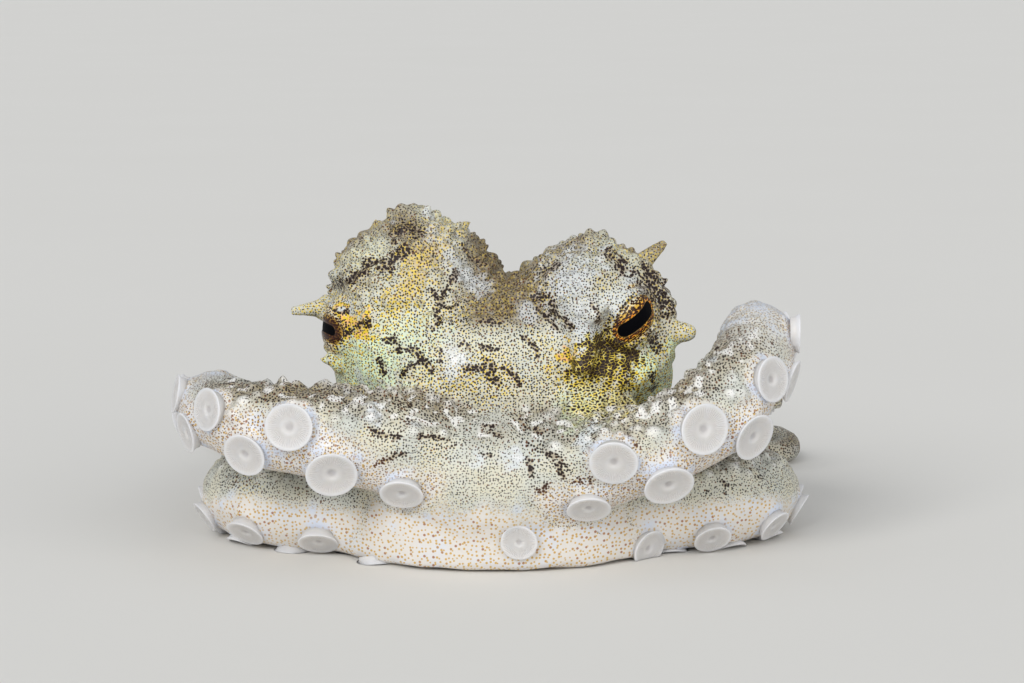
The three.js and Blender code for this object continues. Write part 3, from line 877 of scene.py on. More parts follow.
@dataclass
class Skin:
    """The one skin over head, mantle, web, funnel and arms, without the suckers."""

    arms: list[Arm]
    voxel: float = 0.22
    core_voxel: float = 0.45
    core_rounds: int = 9
    core_reach: float = 9.0
    arm_sides: int = 26
    ring_step: float = 0.4
    thinned_to: int = 98000
    kept: FrontZone = FrontZone(5.0, 2.2, math.inf, 0.6, -0.3)
    refined: FrontZone = FrontZone(4.5, 8.8, 12.5, 0.5, -0.2)
    # Where papillae stand: heights of the web, the face and the crest, the depth that the
    # mantle starts at, and lengths of arm.
    web_heights: Pair = (4.5, 9.5)
    face_height: float = 9.0
    crest_height: float = 14.6
    mantle_depth: float = 6.5
    bumpy_arm: float = 34.0
    clumped_arm: Pair = (4.0, 15.0)
    surface: Surface = field(init=False, repr=False)

    def build(self) -> bpy.types.Mesh:
        """The skin's mesh with its markings, in mm in the animal's own frame."""
        mesh = self._thin(self._join(self._core()))
        self._refine(mesh)
        self.surface = Surface(mesh)
        self._soften()
        self._find_arms()
        self._lower_crest()
        self._crease()
        self._wrinkle()
        for eye in EYES:
            self._set_lids(eye)
        self._raise_papillae()
        self._rest_on_floor()
        Markings(self).store()
        return mesh

    def _tube(self, bm: bmesh.types.BMesh, arm: Arm, start: float, end: float) -> None:
        """Adds a closed length of arm."""
        rings = max(4, round((end - start) / self.ring_step))
        sheet = bmesh.ops.create_grid(bm, x_segments=self.arm_sides, y_segments=rings, size=1.0)
        verts = sheet["verts"]
        flat = np.array([vert.co for vert in verts])
        turn = (flat[:, 0] + 1.0) * math.pi
        share = (flat[:, 1] + 1.0) / 2.0
        s = start + (end - start) * (1.0 - (1.0 - share) ** 1.15)
        for vert, place in zip(verts, arm.surface(s, turn)):
            vert.co = place
        bmesh.ops.remove_doubles(bm, verts=verts, dist=1e-3)
        open_edges = [edge for edge in bm.edges if edge.is_boundary]
        bmesh.ops.holes_fill(bm, edges=open_edges, sides=0)

    def _core(self) -> bpy.types.Mesh:
        """The head, mantle, web and arm roots, blended softly into each other."""
        bm = bmesh.new()
        CROWN.add(bm)
        for blob in HEAD.blobs():
            blob.add(bm)
        MANTLE.add(bm)
        for arm in self.arms:
            self._tube(bm, arm, 0.0, self.core_reach)
        return fused(bm, self.core_voxel, self.core_rounds)

    def _join(self, core: bpy.types.Mesh) -> bpy.types.Mesh:
        """The core with whole arms, spikes and funnel, as one surface."""
        bm = bmesh.new()
        bm.from_mesh(core)
        bpy.data.meshes.remove(core)
        for form in (*HEAD.spikes, *MANTLE.spikes, HEAD.hood, HEAD.knob_left, HEAD.knob_right):
            form.add(bm)
        FUNNEL.add(bm)
        for arm in self.arms:
            self._tube(bm, arm, 0.0, arm.length)
            for sucker in arm.suckers:
                if sucker.diameter > LARGE_SUCKER:
                    self._stalk(bm, arm, sucker)
        return fused(bm, self.voxel, 2)

    def _stalk(self, bm: bmesh.types.BMesh, arm: Arm, sucker: Sucker) -> None:
        """Adds the swelling that a larger sucker stands on."""
        foot, axis = sucker_place(arm, sucker)
        rise = sucker.diameter * 0.02
        depth = rise + float(arm.radius(sucker.s)) * 0.5
        middle = foot + axis * (rise - depth / 2)
        bmesh.ops.create_cone(bm, cap_ends=True, segments=20, radius1=sucker.diameter * 0.78,
                              radius2=sucker.diameter * 0.5, depth=depth,
                              matrix=Matrix.Translation(middle) @ turned_to(axis))

    def _thin(self, mesh: bpy.types.Mesh) -> bpy.types.Mesh:
        """Thins the mesh where little shows: the back, the coils and underneath."""
        body = linked("thinned", mesh)
        hidden = body.vertex_groups.new(name="hidden")
        for vert in mesh.vertices:
            if not self.kept.holds(vert.co, vert.normal):
                hidden.add([vert.index], 1.0, "REPLACE")
        thin = body.modifiers.new("thin", "DECIMATE")
        thin.vertex_group = hidden.name
        thin.ratio = min(1.0, self.thinned_to / triangle_count(mesh))
        return applied(body)

    def _refine(self, mesh: bpy.types.Mesh) -> None:
        """Splits the faces of the front of the head, which shows most, into four."""
        bm = bmesh.new()
        bm.from_mesh(mesh)
        edges = set()
        for face in bm.faces:
            if self.refined.holds(face.calc_center_median(), face.normal):
                edges.update(face.edges)
        bmesh.ops.subdivide_edges(bm, edges=list(edges), cuts=1, use_grid_fill=True)
        bm.to_mesh(mesh)
        bm.free()

    def _soften(self) -> None:
        """Evens out what the remesh and the split left."""
        self.surface.points = self.surface.relaxed(self.surface.points, 3)
        self.surface.update()

    def _find_arms(self) -> None:
        """Finds, for each vertex, the nearest arm, the place along it and the side it is on."""
        rows = [(a, i) for a, arm in enumerate(self.arms) for i in range(len(arm.points))]
        tree = tree_of([self.arms[a].points[i] for a, i in rows])
        found = np.array([tree.find(place)[1] for place in self.surface.points.tolist()])
        table = np.array(rows)[found]
        stack = {name: np.concatenate([getattr(arm, name) for arm in self.arms])
                 for name in ("points", "oral")}
        radii = np.concatenate([arm.radius(arm.stations) for arm in self.arms])[found]
        away = self.surface.points - stack["points"][found]
        distance = np.linalg.norm(away, axis=1)
        away = away / np.maximum(distance, 1e-6)[:, None]
        self.arm_index = table[:, 0]
        self.arm_s = table[:, 1] * Arm.STEP
        self.oral_side = np.sum(away * stack["oral"][found], axis=1)
        self.up_side = away[:, 2]
        self.on_arm = smooth_between(0.9, 0.25, distance - radii)

    def _lower_crest(self) -> None:
        """Flattens the top of the left front arm where it passes under the eye, by 1 mm."""
        along = smooth_between(2.0, 6.0, self.arm_s) * smooth_between(15.0, 10.0, self.arm_s)
        top = smooth_between(0.05, 0.75, self.up_side) * self.on_arm * (self.arm_index == 0)
        self.surface.points[:, 2] -= 1.0 * along * top
        self.surface.update()

    def _crease(self) -> None:
        """Draws in the skin where the head sits on the web and the front arms."""
        points = self.surface.points
        head = np.minimum.reduce([blob.gap(points) for blob in HEAD.blobs()[:3]])
        dome = Blob(CROWN.centre, CROWN.radii)
        web = np.minimum(dome.gap(points), CROWN.front.gap(points))
        front = np.isin(self.arm_index, FRONT_ARMS)
        arm_gap = np.where(front, (1.0 - self.on_arm) * 2.0, 9.0)
        web = np.minimum(web, arm_gap)
        self.crease = np.exp(-(head**2 + web**2) / 0.55**2) * smooth_between(8.0, 4.0, points[:, 1])
        self.surface.push(-0.3 * self.crease)

    def _wrinkle(self) -> None:
        """Adds fine folds across the arms and a slightly uneven skin everywhere."""
        points = self.surface.points
        across = np.sin(self.arm_s * 2.0 * math.pi / 0.9 + 2.2 * grain(points, 2.0, 3))
        upper = smooth_between(0.5, -0.2, self.oral_side)
        folds = 0.035 * across * upper * self.on_arm * smooth_between(3.0, 8.0, self.arm_s)
        uneven = 0.09 * grain(points, 1.6, 5) + 0.05 * grain(points, 0.7, 6)
        self.surface.push(folds + uneven)

    def _set_lids(self, eye: EyePlan) -> None:
        """Opens the skin over an eyeball and lays its edge close round it.

        Args:
            eye: the eyeball that the skin goes round.
        """
        place = eye.plan(self.surface.points)
        reach = np.linalg.norm(place, axis=1)
        ring = eye.ring(place)
        off_gaze = np.degrees(np.arccos(np.clip(place[:, 2] / np.maximum(reach, 1e-6), -1, 1)))
        near = smooth_between(76.0, 54.0, off_gaze)
        near = near * smooth_between(eye.radius + 1.7, eye.radius + 1.1, reach)
        near = near * smooth_between(0.7, 1.2, HEAD.spike_gap(self.surface.points))
        rear = smooth_between(0.15, 0.85, eye.rearward(place))
        lip = np.exp(-((ring - 1.2) / 0.16) ** 2)
        lid = eye.radius + 0.05 + (0.05 + 0.2 * rear) * lip
        target = np.where(ring < 1.0, eye.radius - 0.35, lid)
        drawn = reach + (target - reach) * near
        moved = (unit_rows(place) * drawn[:, None]) @ eye.axes() + np.array(eye.centre)
        self.surface.points = np.where((near > 0)[:, None], moved, self.surface.points)
        self.surface.update()
        groove = np.exp(-((ring - 1.52) / 0.12) ** 2) * near
        self.surface.push(-(0.03 + 0.12 * rear) * groove)

    def _raise_papillae(self) -> None:
        """Raises small papillae, close on the crests and knobbly on the arms' upper sides."""
        points, normals = self.surface.points, self.surface.normals
        height = points[:, 2]
        front = points[:, 1] < self.mantle_depth
        arm = self.on_arm > 0.5
        upper = (self.oral_side < -0.1) & arm
        clear = HEAD.spike_gap(points) > 0.9
        for eye in EYES:
            clear &= np.linalg.norm(eye.plan(points), axis=1) > eye.radius + 1.0
        head = front & ~arm & clear & (height > self.face_height)
        crest_from = self.crest_height + 1.2 * grain(points, 2.5, 9)
        crest = head & (height > crest_from) & (normals[:, 2] > -0.2)
        mantle = ~front & ~arm & (normals[:, 2] > -0.3)
        low, high = self.web_heights
        web = front & ~arm & (height > low) & (height < high) & clear
        self.knob = np.zeros(self.surface.count)
        self._papillae(crest, PapillaField(0.58, (0.2, 0.52), (0.12, 0.46), 11))
        self._papillae(head & ~crest, PapillaField(0.9, (0.2, 0.36), (0.04, 0.11), 12))
        bumpy = upper & (self.arm_s < self.bumpy_arm)
        self._papillae(bumpy, PapillaField(0.75, (0.26, 0.44), (0.08, 0.2), 13))
        raised = np.where(np.isin(self.arm_index, FRONT_ARMS), self.up_side > 0.35, self.oral_side < -0.2)
        start, end = self.clumped_arm
        clumps = raised & arm & (self.arm_s > start) & (self.arm_s < end)
        clumps = clumps & (grain(points, 1.8, 31) > 0.0)
        self._papillae(clumps, PapillaField(0.7, (0.36, 0.66), (0.22, 0.52), 16))
        self._papillae(mantle, PapillaField(0.95, (0.35, 0.7), (0.14, 0.42), 14))
        self._papillae(web, PapillaField(0.8, (0.24, 0.42), (0.05, 0.13), 15))

    def _papillae(self, where: Array, kind: PapillaField) -> None:
        """Raises one field of papillae.

        Args:
            where: which vertices a papilla may stand on.
            kind: its spacing and sizes.
        """
        surface = self.surface
        tree = tree_of(surface.points.tolist())
        draw = np.random.default_rng(kind.seed)
        candidates = np.flatnonzero(where)
        draw.shuffle(candidates)
        taken = np.zeros(surface.count, bool)
        rise = np.zeros(surface.count)
        lean = np.zeros((surface.count, 3))
        for i in candidates.tolist():
            if taken[i]:
                continue
            radius = draw.uniform(*kind.radius)
            height = draw.uniform(*kind.height)
            gap = kind.spacing * draw.uniform(0.8, 1.5)
            for _, k, distance in tree.find_range(surface.points[i], max(gap, radius * 1.3)):
                if distance < gap:
                    taken[k] = True
                if distance < radius * 1.3:
                    lift = height * (1.0 - (distance / (radius * 1.3)) ** 2) ** kind.sharpness
                    if lift > rise[k]:
                        rise[k] = lift
                        lean[k] = surface.normals[i]
        surface.points += lean * rise[:, None]
        surface.update()
        self.knob = np.maximum(self.knob, rise / max(kind.height))

    def _rest_on_floor(self) -> None:
        """Presses what would go through the floor flat against it."""
        points = self.surface.points
        points[:, 2] = np.maximum(points[:, 2], FLOOR_CLEARANCE)
        self.surface.update()


class Markings:
    """The skin's pigments, among them painted light and shade, worked out for every vertex."""

    FACE_ABOVE = 8.8
    STENCIL_POINT = (0.9, -168.9, 36.0)
    # How far each arm, in the order of the plans, has turned its suckers' side to the front.
    TURNED = (0.3, 0.55, 0.0, 0.0, 0.0, 0.0, 0.0, 0.0)

    def __init__(self, skin: Skin) -> None:
        """Finds the skin's regions and lays every pigment on."""
        self.skin = skin
        self.points, self.normals = skin.surface.points, skin.surface.normals
        self.x, self.y, self.z = self.points.T
        self.arm = skin.on_arm
        self.front = np.isin(skin.arm_index, FRONT_ARMS)
        self.broad, self.fine = self._grain(3.2, 21), self._grain(1.1, 22)
        self.ragged = self._grain(0.35, 27)
        self._find_flesh()
        self._find_edges()
        self.shade = self._ground()
        self._lay_veins()
        self._lay_blotches()
        self._lay_strokes()
        self._lay_rims()
        self._balance()

    def store(self) -> None:
        """Stores each pigment as an attribute of the skin."""
        for pigment, values in self.shade.items():
            self.skin.surface.carry(pigment.value, np.clip(values, 0.0, 1.0))

    def _grain(self, size: float, seed: int) -> Array:
        """Smooth noise over the skin."""
        return grain(self.points, size, seed)

    def _lay(self, pigment: Pigment, amount: Array) -> None:
        """Lays a pigment on wherever there is less of it."""
        self.shade[pigment] = np.maximum(self.shade[pigment], amount)

    def _fade(self, pigment: Pigment, share: Array) -> None:
        """Takes a share of a pigment away."""
        self.shade[pigment] = self.shade[pigment] * (1.0 - share)

    def _find_flesh(self) -> None:
        """Finds the clear flesh of the suckers' side, and the skin round it without dark spots."""
        skin, arm, front, fine = self.skin, self.arm, self.front, self.fine
        ahead = smooth_between(-0.1, -0.8, self.normals[:, 1]) * smooth_between(4.0, -2.0, self.y)
        side = np.where(front, 0.55 * skin.oral_side - 0.6 * skin.up_side, skin.oral_side - 0.1)
        side = side + 0.1 * fine + 0.08 * self.broad
        side = side + 0.5 * ahead * np.isin(skin.arm_index, SECOND_ARMS)
        side = side + np.array(self.TURNED)[skin.arm_index] * smooth_between(6.0, 12.0, skin.arm_s)
        far = smooth_between(16.0, 21.0, skin.arm_s + fine)
        far = far * smooth_between(36.0, 21.0, skin.arm_s + 2.0 * fine)
        self.far = np.where(front, far, 0.0) * arm
        low = self.z + 0.8 * fine
        under = smooth_between(0.1, -0.7, self.normals[:, 2]) * smooth_between(6.0, 9.0, self.y)
        below = smooth_between(0.25, -0.35, self.normals[:, 2])
        below = below * smooth_between(0.1, 0.5, skin.oral_side)
        flesh = np.maximum(arm * smooth_between(0.52, 0.92, side), 0.7 * self.far)
        flesh = np.maximum(flesh, 0.8 * below * arm * np.where(front, 0.0, 1.0))
        flesh = np.maximum(flesh, (1.0 - arm) * np.maximum(smooth_between(4.8, 3.0, low), under))
        bare = np.maximum(arm * smooth_between(0.4, 0.82, side), 0.8 * self.far)
        bare = np.maximum(np.maximum(flesh, bare), (1.0 - arm) * smooth_between(5.7, 3.7, low))
        self.halo = self._round_suckers() * np.clip(1.0 + 0.4 * fine, 0, 1)
        self.flesh = np.maximum(flesh, 0.9 * self.halo)
        self.bare = np.maximum(bare, 0.9 * self.halo)
        self.upper = 1.0 - self.bare

    def _find_edges(self) -> None:
        """Finds the arms' crests, the head, the web's brim and what faces the front."""
        skin, arm = self.skin, self.arm
        crest = smooth_between(0.4, 0.8, skin.up_side)
        self.ridge = arm * np.where(self.front, crest, smooth_between(-0.1, -0.75, skin.oral_side))
        off_head = np.minimum.reduce([blob.gap(self.points) for blob in HEAD.blobs()])
        off_head = np.minimum(off_head, HEAD.hood.gap(self.points) - HEAD.hood.radius)
        raised = smooth_between(7.6, 8.4, self.z)
        self.on_head = (1.0 - arm) * raised * smooth_between(1.1, 0.5, off_head)
        brim = np.exp(-((self.z - 8.2) / 0.8) ** 2) * (1.0 - arm) * smooth_between(2.0, -2.0, self.y)
        self.edge = np.maximum(self.ridge, brim)
        facing = smooth_between(0.25, -0.05, self.normals[:, 1]) * smooth_between(6.0, 3.5, self.y)
        self.drawn = smooth_between(-0.5, 0.3, self.z - 3.0) * facing

    def _ground(self) -> dict[Pigment, Array]:
        """Each pigment as it lies before the markings."""
        broad, fine, on_head, upper = self.broad, self.fine, self.on_head, self.upper
        warts = self.edge * smooth_between(0.12, 0.42, self._grain(0.55, 32)) * upper
        # Painted glints: whitish patches at random.
        painted_glint = smooth_between(0.42, 0.62, self._grain(1.5, 26)) * 0.7
        return {
            Pigment.DARK: (0.22 + 0.1 * on_head + 0.1 * broad + 0.1 * fine + 0.2 * self.ridge) * upper,
            Pigment.NET: np.zeros(len(self.points)),
            Pigment.GOLD: 0.15 + 0.16 * on_head + 0.3 * np.clip(broad, 0, 1) + 0.1 * fine,
            # A painted sheen at random over the head.
            Pigment.TINT_AND_SHEEN: 0.18 * np.clip(-broad, 0, 1) * on_head,
            # Painted glints, and on the far bend of the front arms a bluish tint with painted shine.
            Pigment.PALE_AND_SHINE: np.maximum(painted_glint, self.far * np.clip(0.42 + 0.8 * fine, 0.1, 0.85)),
            Pigment.BROWN_AND_SHADE: self._brown_and_shade() * upper,
            Pigment.FLESH: self.flesh,
            Pigment.KNOB: np.clip(np.maximum(self.skin.knob * (0.25 + 0.6 * self.arm), warts), 0, 1),
        }

    def _brown_and_shade(self) -> Array:
        """Brown over the mantle, the mounds' tops, the web's brim and the arms' upper edges, and painted
        shade in the dip between the mounds.
        """
        top = smooth_between(15.2, 18.2, self.z + 0.9 * self.fine) * (1.0 - self.arm)
        behind = 0.5 * smooth_between(6.0, 12.0, self.y) * np.clip(0.6 + self.broad, 0, 1)
        high = np.maximum(0.85 * top, 0.75 * self.edge) * np.clip(0.8 + self.broad, 0, 1)
        # Painted shade in the dip between the mounds.
        saddle_shade = smooth_between(3.6, 1.4, np.abs(self.x - 0.5)) * smooth_between(13.4, 14.8, self.z)
        return np.maximum.reduce([behind, high, saddle_shade])

    def _round_suckers(self) -> Array:
        """1 close round each larger sucker, falling to 0 half its radius off."""
        near = np.zeros(len(self.points))
        for arm in self.skin.arms:
            for sucker in arm.suckers:
                if sucker.diameter > LARGE_SUCKER:
                    gap = np.linalg.norm(self.points - sucker_place(arm, sucker)[0], axis=1)
                    near = np.maximum(near, smooth_between(1.45, 1.05, gap / (sucker.diameter / 2)))
        return near

    def _round_eye(self, eye: EyePlan) -> Array:
        """1 at the edge of an eye's opening, falling to 0 a little way off and past the rear lid."""
        place = eye.plan(self.points)
        near = smooth_between(eye.radius + 1.3, eye.radius + 0.6, np.linalg.norm(place, axis=1))
        around = smooth_between(1.45, 1.05, eye.ring(place)) * near * (place[:, 2] > 0)
        return around * smooth_between(0.95, 0.4, eye.rearward(place))

    def _lay_veins(self) -> None:
        """Lays broken dark veins where no stroke is drawn."""
        wander = self._grain(1.7, 23) + 0.35 * self._grain(0.6, 24)
        broken = smooth_between(0.0, 0.3, self._grain(2.6, 25))
        veins = np.clip(1.0 - np.abs(wander) / 0.085, 0.0, 1.0) * broken
        self._lay(Pigment.DARK, veins * self.upper * (1.0 - 0.75 * self.drawn * (1.0 - self.arm)))

    def _lay_blotches(self) -> None:
        """Lays brown and pale blotches over the mantle."""
        back = (1.0 - self.arm) * smooth_between(3.0, 6.5, self.y) * self.upper
        blotch = smooth_between(0.05, 0.4, self._grain(2.6, 41) + 0.4 * self.fine)
        light = smooth_between(0.3, 0.5, self._grain(2.1, 42) + 0.3 * self.fine)
        self._lay(Pigment.BROWN_AND_SHADE, 0.55 * blotch * back)
        self._lay(Pigment.DARK, 0.42 * blotch * back)
        self._lay(Pigment.PALE_AND_SHINE, 0.9 * light * back)

    def _lay_strokes(self) -> None:
        """Lays the face's markings on from the front, through a flat stencil."""
        eye_point = np.array(self.STENCIL_POINT)
        reach = -eye_point[1] / (self.points[:, 1] - eye_point[1])
        plane = (eye_point + (self.points - eye_point) * reach[:, None])[:, [0, 2]]
        for stroke in FACE_MARKS:
            weight = stroke.weight(plane, self.ragged) * self.drawn
            if min(up for _, up in stroke.points) > self.FACE_ABOVE:
                weight *= self.on_head
            self._lay(stroke.pigment, weight)

    def _lay_rims(self) -> None:
        """Marks the skin round the eyes and on the spikes, and paints shade into the crease under the
        head.
        """
        for eye in EYES:
            lids = self._round_eye(eye) * np.clip(1.0 + 0.8 * self.ragged, 0, 1)
            self._lay(Pigment.DARK, 0.6 * lids)
            self._lay(Pigment.GOLD, 0.66 * lids)
        # Painted shade in the crease under the head: the dark spots run together and the ground turns
        # brown.
        self._lay(Pigment.DARK, 0.6 * self.skin.crease * self.upper)
        self._lay(Pigment.BROWN_AND_SHADE, 0.5 * self.skin.crease)
        spike = smooth_between(1.5, 0.7, HEAD.spike_gap(self.points))
        self._fade(Pigment.DARK, 0.5 * spike)
        self._lay(Pigment.GOLD, 0.5 * spike)

    def _balance(self) -> None:
        """Lets the stronger pigments take the place of the weaker."""
        # Fewer small dark spots under the painted sheen, so that it reads lighter.
        thin = smooth_between(0.55, 0.4, self.shade[Pigment.DARK])
        self._fade(Pigment.DARK, 0.45 * thin * np.clip(self.shade[Pigment.TINT_AND_SHEEN], 0.0, 1.0))
        rich = smooth_between(0.5, 0.9, self.shade[Pigment.GOLD])
        for cool in (Pigment.PALE_AND_SHINE, Pigment.KNOB, Pigment.BROWN_AND_SHADE):
            self._fade(cool, 0.85 * rich)
        # Painted blue shine round the larger suckers.
        self._lay(Pigment.PALE_AND_SHINE, 0.75 * self.halo * smooth_between(0.0, 0.35, self.fine))
        behind = self.arm * smooth_between(2.0, 6.0, self.y)
        self._fade(Pigment.PALE_AND_SHINE, 0.6 * behind)
        self._fade(Pigment.KNOB, 0.7 * behind)
        self._lay(Pigment.DARK, 0.12 * self.bare * self.front * self.arm)


def sucker_place(arm: Arm, sucker: Sucker) -> tuple[Array, Array]:
    """Where a sucker's stalk leaves the arm, and the way it points."""
    point, _, oral, across = (rows[0] for rows in arm.at(sucker.s))
    angle = math.radians(24.0) * sucker.row
    axis = oral * math.cos(angle) + across * math.sin(angle)
    return point + axis * float(arm.radius(sucker.s)), axis


class SuckerSize(Enum):
    """How finely a sucker is made, by the diameter in mm that it is larger than."""

    LARGE = 1.7
    MIDDLE = 0.9
    SMALL = 0.0

    @classmethod
    def of(cls, diameter: float) -> "SuckerSize":
        """The size of a sucker."""
        return next(size for size in cls if diameter > size.value)


@dataclass
class SuckerRow:
    """All the suckers of one arm."""

    arm: Arm
    skin: BVHTree
    height: float = 0.13
    lift: float = 0.03
    grown: float = 1.07
    web_reach: float = 6.0
    # How far above its place a sucker's seat is looked for, on the arm and on the web, and below.
    above_arm: float = 0.9
    above_web: float = 3.0
    below: float = 0.8
    # Share of the radius, and share of the height, from the stalk over the rim to the centre.
    outline: tuple[Pair, ...] = (
        (0.84, -0.9), (0.86, -0.2), (0.9, 0.25), (0.95, 0.55), (0.985, 0.75), (1.0, 0.9), (0.99, 1.0),
        (0.96, 1.04), (0.92, 1.02), (0.84, 0.94), (0.72, 0.86), (0.58, 0.8), (0.44, 0.76),
        (0.33, 0.73), (0.26, 0.68), (0.21, 0.58), (0.17, 0.44), (0.1, 0.34), (0.0, 0.3))
    plain: tuple[Pair, ...] = (
        (0.85, -0.9), (0.9, 0.2), (1.0, 0.85), (0.95, 1.04), (0.74, 0.86), (0.34, 0.73),
        (0.16, 0.45), (0.0, 0.35))

    def build(self) -> tuple[bpy.types.Mesh, Array]:
        """The suckers' mesh, in mm, and each vertex's place on its own disc."""
        shapes = {
            SuckerSize.LARGE: self._shape(self.outline, 44),
            SuckerSize.MIDDLE: self._shape(self.outline[::2], 18),
            SuckerSize.SMALL: self._shape(self.plain, 9),
        }
        bm = bmesh.new()
        reach = []
        draw = np.random.default_rng(40 + len(self.arm.suckers))
        for sucker in self.arm.suckers:
            shape, shares = shapes[SuckerSize.of(sucker.diameter)]
            start = len(bm.verts)
            bm.from_mesh(shape)
            bm.verts.ensure_lookup_table()
            bmesh.ops.transform(bm, matrix=self._seat(sucker, draw), verts=bm.verts[start:])
            reach.append(shares)
        for vert in bm.verts:
            vert.co.z = max(vert.co.z, FLOOR_CLEARANCE)
        return meshed(bm, "suckers"), np.concatenate(reach)

    def _seat(self, sucker: Sucker, draw: np.random.Generator) -> Matrix:
        """The matrix that sets the plain shape on the arm, or flat on the web near the root."""
        foot, axis = sucker_place(self.arm, sucker)
        way = axis + self.arm.at(sucker.s)[2][0]
        if sucker.diameter > LARGE_SUCKER:
            on_web = sucker.s < self.web_reach
            above = self.above_web if on_web else self.above_arm
            start = Vector(foot + axis * above)
            hit, normal, _, _ = self.skin.ray_cast(start, Vector(-axis), above + self.below)
            if hit is not None:
                foot = np.array(hit) + axis * self.lift * sucker.diameter
                way = way * 0.2 + np.array(normal) * 1.6 if on_web else way
        tilt = Vector(way) / 2 + Vector(draw.normal(0.0, 0.07, 3))
        radius = self.grown * sucker.diameter / 2
        tall = self.height * sucker.diameter
        spread = Matrix.Diagonal((radius, radius * draw.uniform(0.93, 1.0), tall, 1.0))
        spin = Matrix.Rotation(draw.uniform(0.0, 2 * math.pi), 4, "Z")
        return Matrix.Translation(foot) @ turned_to(tilt) @ spin @ spread

    def _shape(self, outline: Sequence[Pair], turns: int) -> tuple[bpy.types.Mesh, Array]:
        """A sucker of radius 1 and height 1, spun from its outline.

        Args:
            outline: the profile's points.
            turns: steps round the sucker.

        Returns:
            The mesh, and each vertex's place on the disc, with its height.
        """
        bm = bmesh.new()
        spun(bm, outline, turns)
        bmesh.ops.remove_doubles(bm, verts=bm.verts[:], dist=1e-5)
        bmesh.ops.holes_fill(bm, edges=[edge for edge in bm.edges if edge.is_boundary], sides=0)
        bmesh.ops.recalc_face_normals(bm, faces=bm.faces[:])
        order_faces(bm)
        spots = np.array([vert.co for vert in bm.verts])
        return meshed(bm, "sucker"), spots


@dataclass
class Eye:
    """An eyeball with its bar pupil."""

    plan: EyePlan
    pupil_depth: float = 0.06

    def build(self) -> tuple[bpy.types.Mesh, Array]:
        """The eyeball's mesh, in mm, and each vertex's place in the eye's own axes."""
        bm = bmesh.new()
        bmesh.ops.create_icosphere(bm, subdivisions=6, radius=self.plan.radius)
        place = np.array([vert.co for vert in bm.verts])
        long, wide = self.plan.bar
        bow = place[:, 1] + self.plan.bow * (place[:, 0] ** 2 - 1.0)
        outside = np.hypot(np.maximum(np.abs(place[:, 0]) - (long - wide), 0.0), bow) - wide
        sunk = smooth_between(0.08, -0.06, outside) * (place[:, 2] > 0)
        inner = place * (1.0 - sunk * self.pupil_depth / self.plan.radius)[:, None]
        for vert, spot in zip(bm.verts, inner @ self.plan.axes() + np.array(self.plan.centre)):
            vert.co = spot
        bmesh.ops.recalc_face_normals(bm, faces=bm.faces[:])
        return meshed(bm, self.plan.name), place


# ---- Shader sums ----------------------------------------------------------------------

Value: TypeAlias = "Wire | float"


class Wire:
    """A node's output that takes part in sums."""

    def __init__(self, sheet: "Sheet", socket: bpy.types.NodeSocket) -> None:
        """Wraps a socket of one material."""
        self.sheet = sheet
        self.socket = socket

    def _sum(self, operation: str, first: Value, second: Value) -> "Wire":
        """A Math node on two values."""
        return self.sheet.node("ShaderNodeMath", {"operation": operation}, {0: first, 1: second})

    def __add__(self, other: Value) -> "Wire":
        """self + other."""
        return self._sum("ADD", self, other)

    __radd__ = __add__

    def __sub__(self, other: Value) -> "Wire":
        """self - other."""
        return self._sum("SUBTRACT", self, other)

    def __rsub__(self, other: Value) -> "Wire":
        """other - self."""
        return self._sum("SUBTRACT", other, self)

    def __mul__(self, other: Value) -> "Wire":
        """self * other."""
        return self._sum("MULTIPLY", self, other)

    __rmul__ = __mul__

    def __truediv__(self, other: Value) -> "Wire":
        """self / other."""
        return self._sum("DIVIDE", self, other)

    def __pow__(self, other: Value) -> "Wire":
        """self to a power."""
        return self._sum("POWER", self, other)

    def highest(self, other: Value) -> "Wire":
        """The larger of the two."""
        return self._sum("MAXIMUM", self, other)

    def over(self, other: Value) -> "Wire":
        """1 where self is the larger, or else 0."""
        return self._sum("GREATER_THAN", self, other)

    def angle_to(self, other: Value) -> "Wire":
        """The angle whose tangent is self / other, in radians."""
        return self._sum("ARCTAN2", self, other)

    def sine(self) -> "Wire":
        """The sine of an angle in radians."""
        return self._sum("SINE", self, 0.0)

    def magnitude(self) -> "Wire":
        """The value without its sign."""
        return self._sum("ABSOLUTE", self, 0.0)

    def step(self, low: Value, high: Value) -> "Wire":
        """A smooth step from 0 at low to 1 at high."""
        return self.sheet.node("ShaderNodeMapRange", {"interpolation_type": "SMOOTHSTEP"},
                               {"Value": self, "From Min": low, "From Max": high})


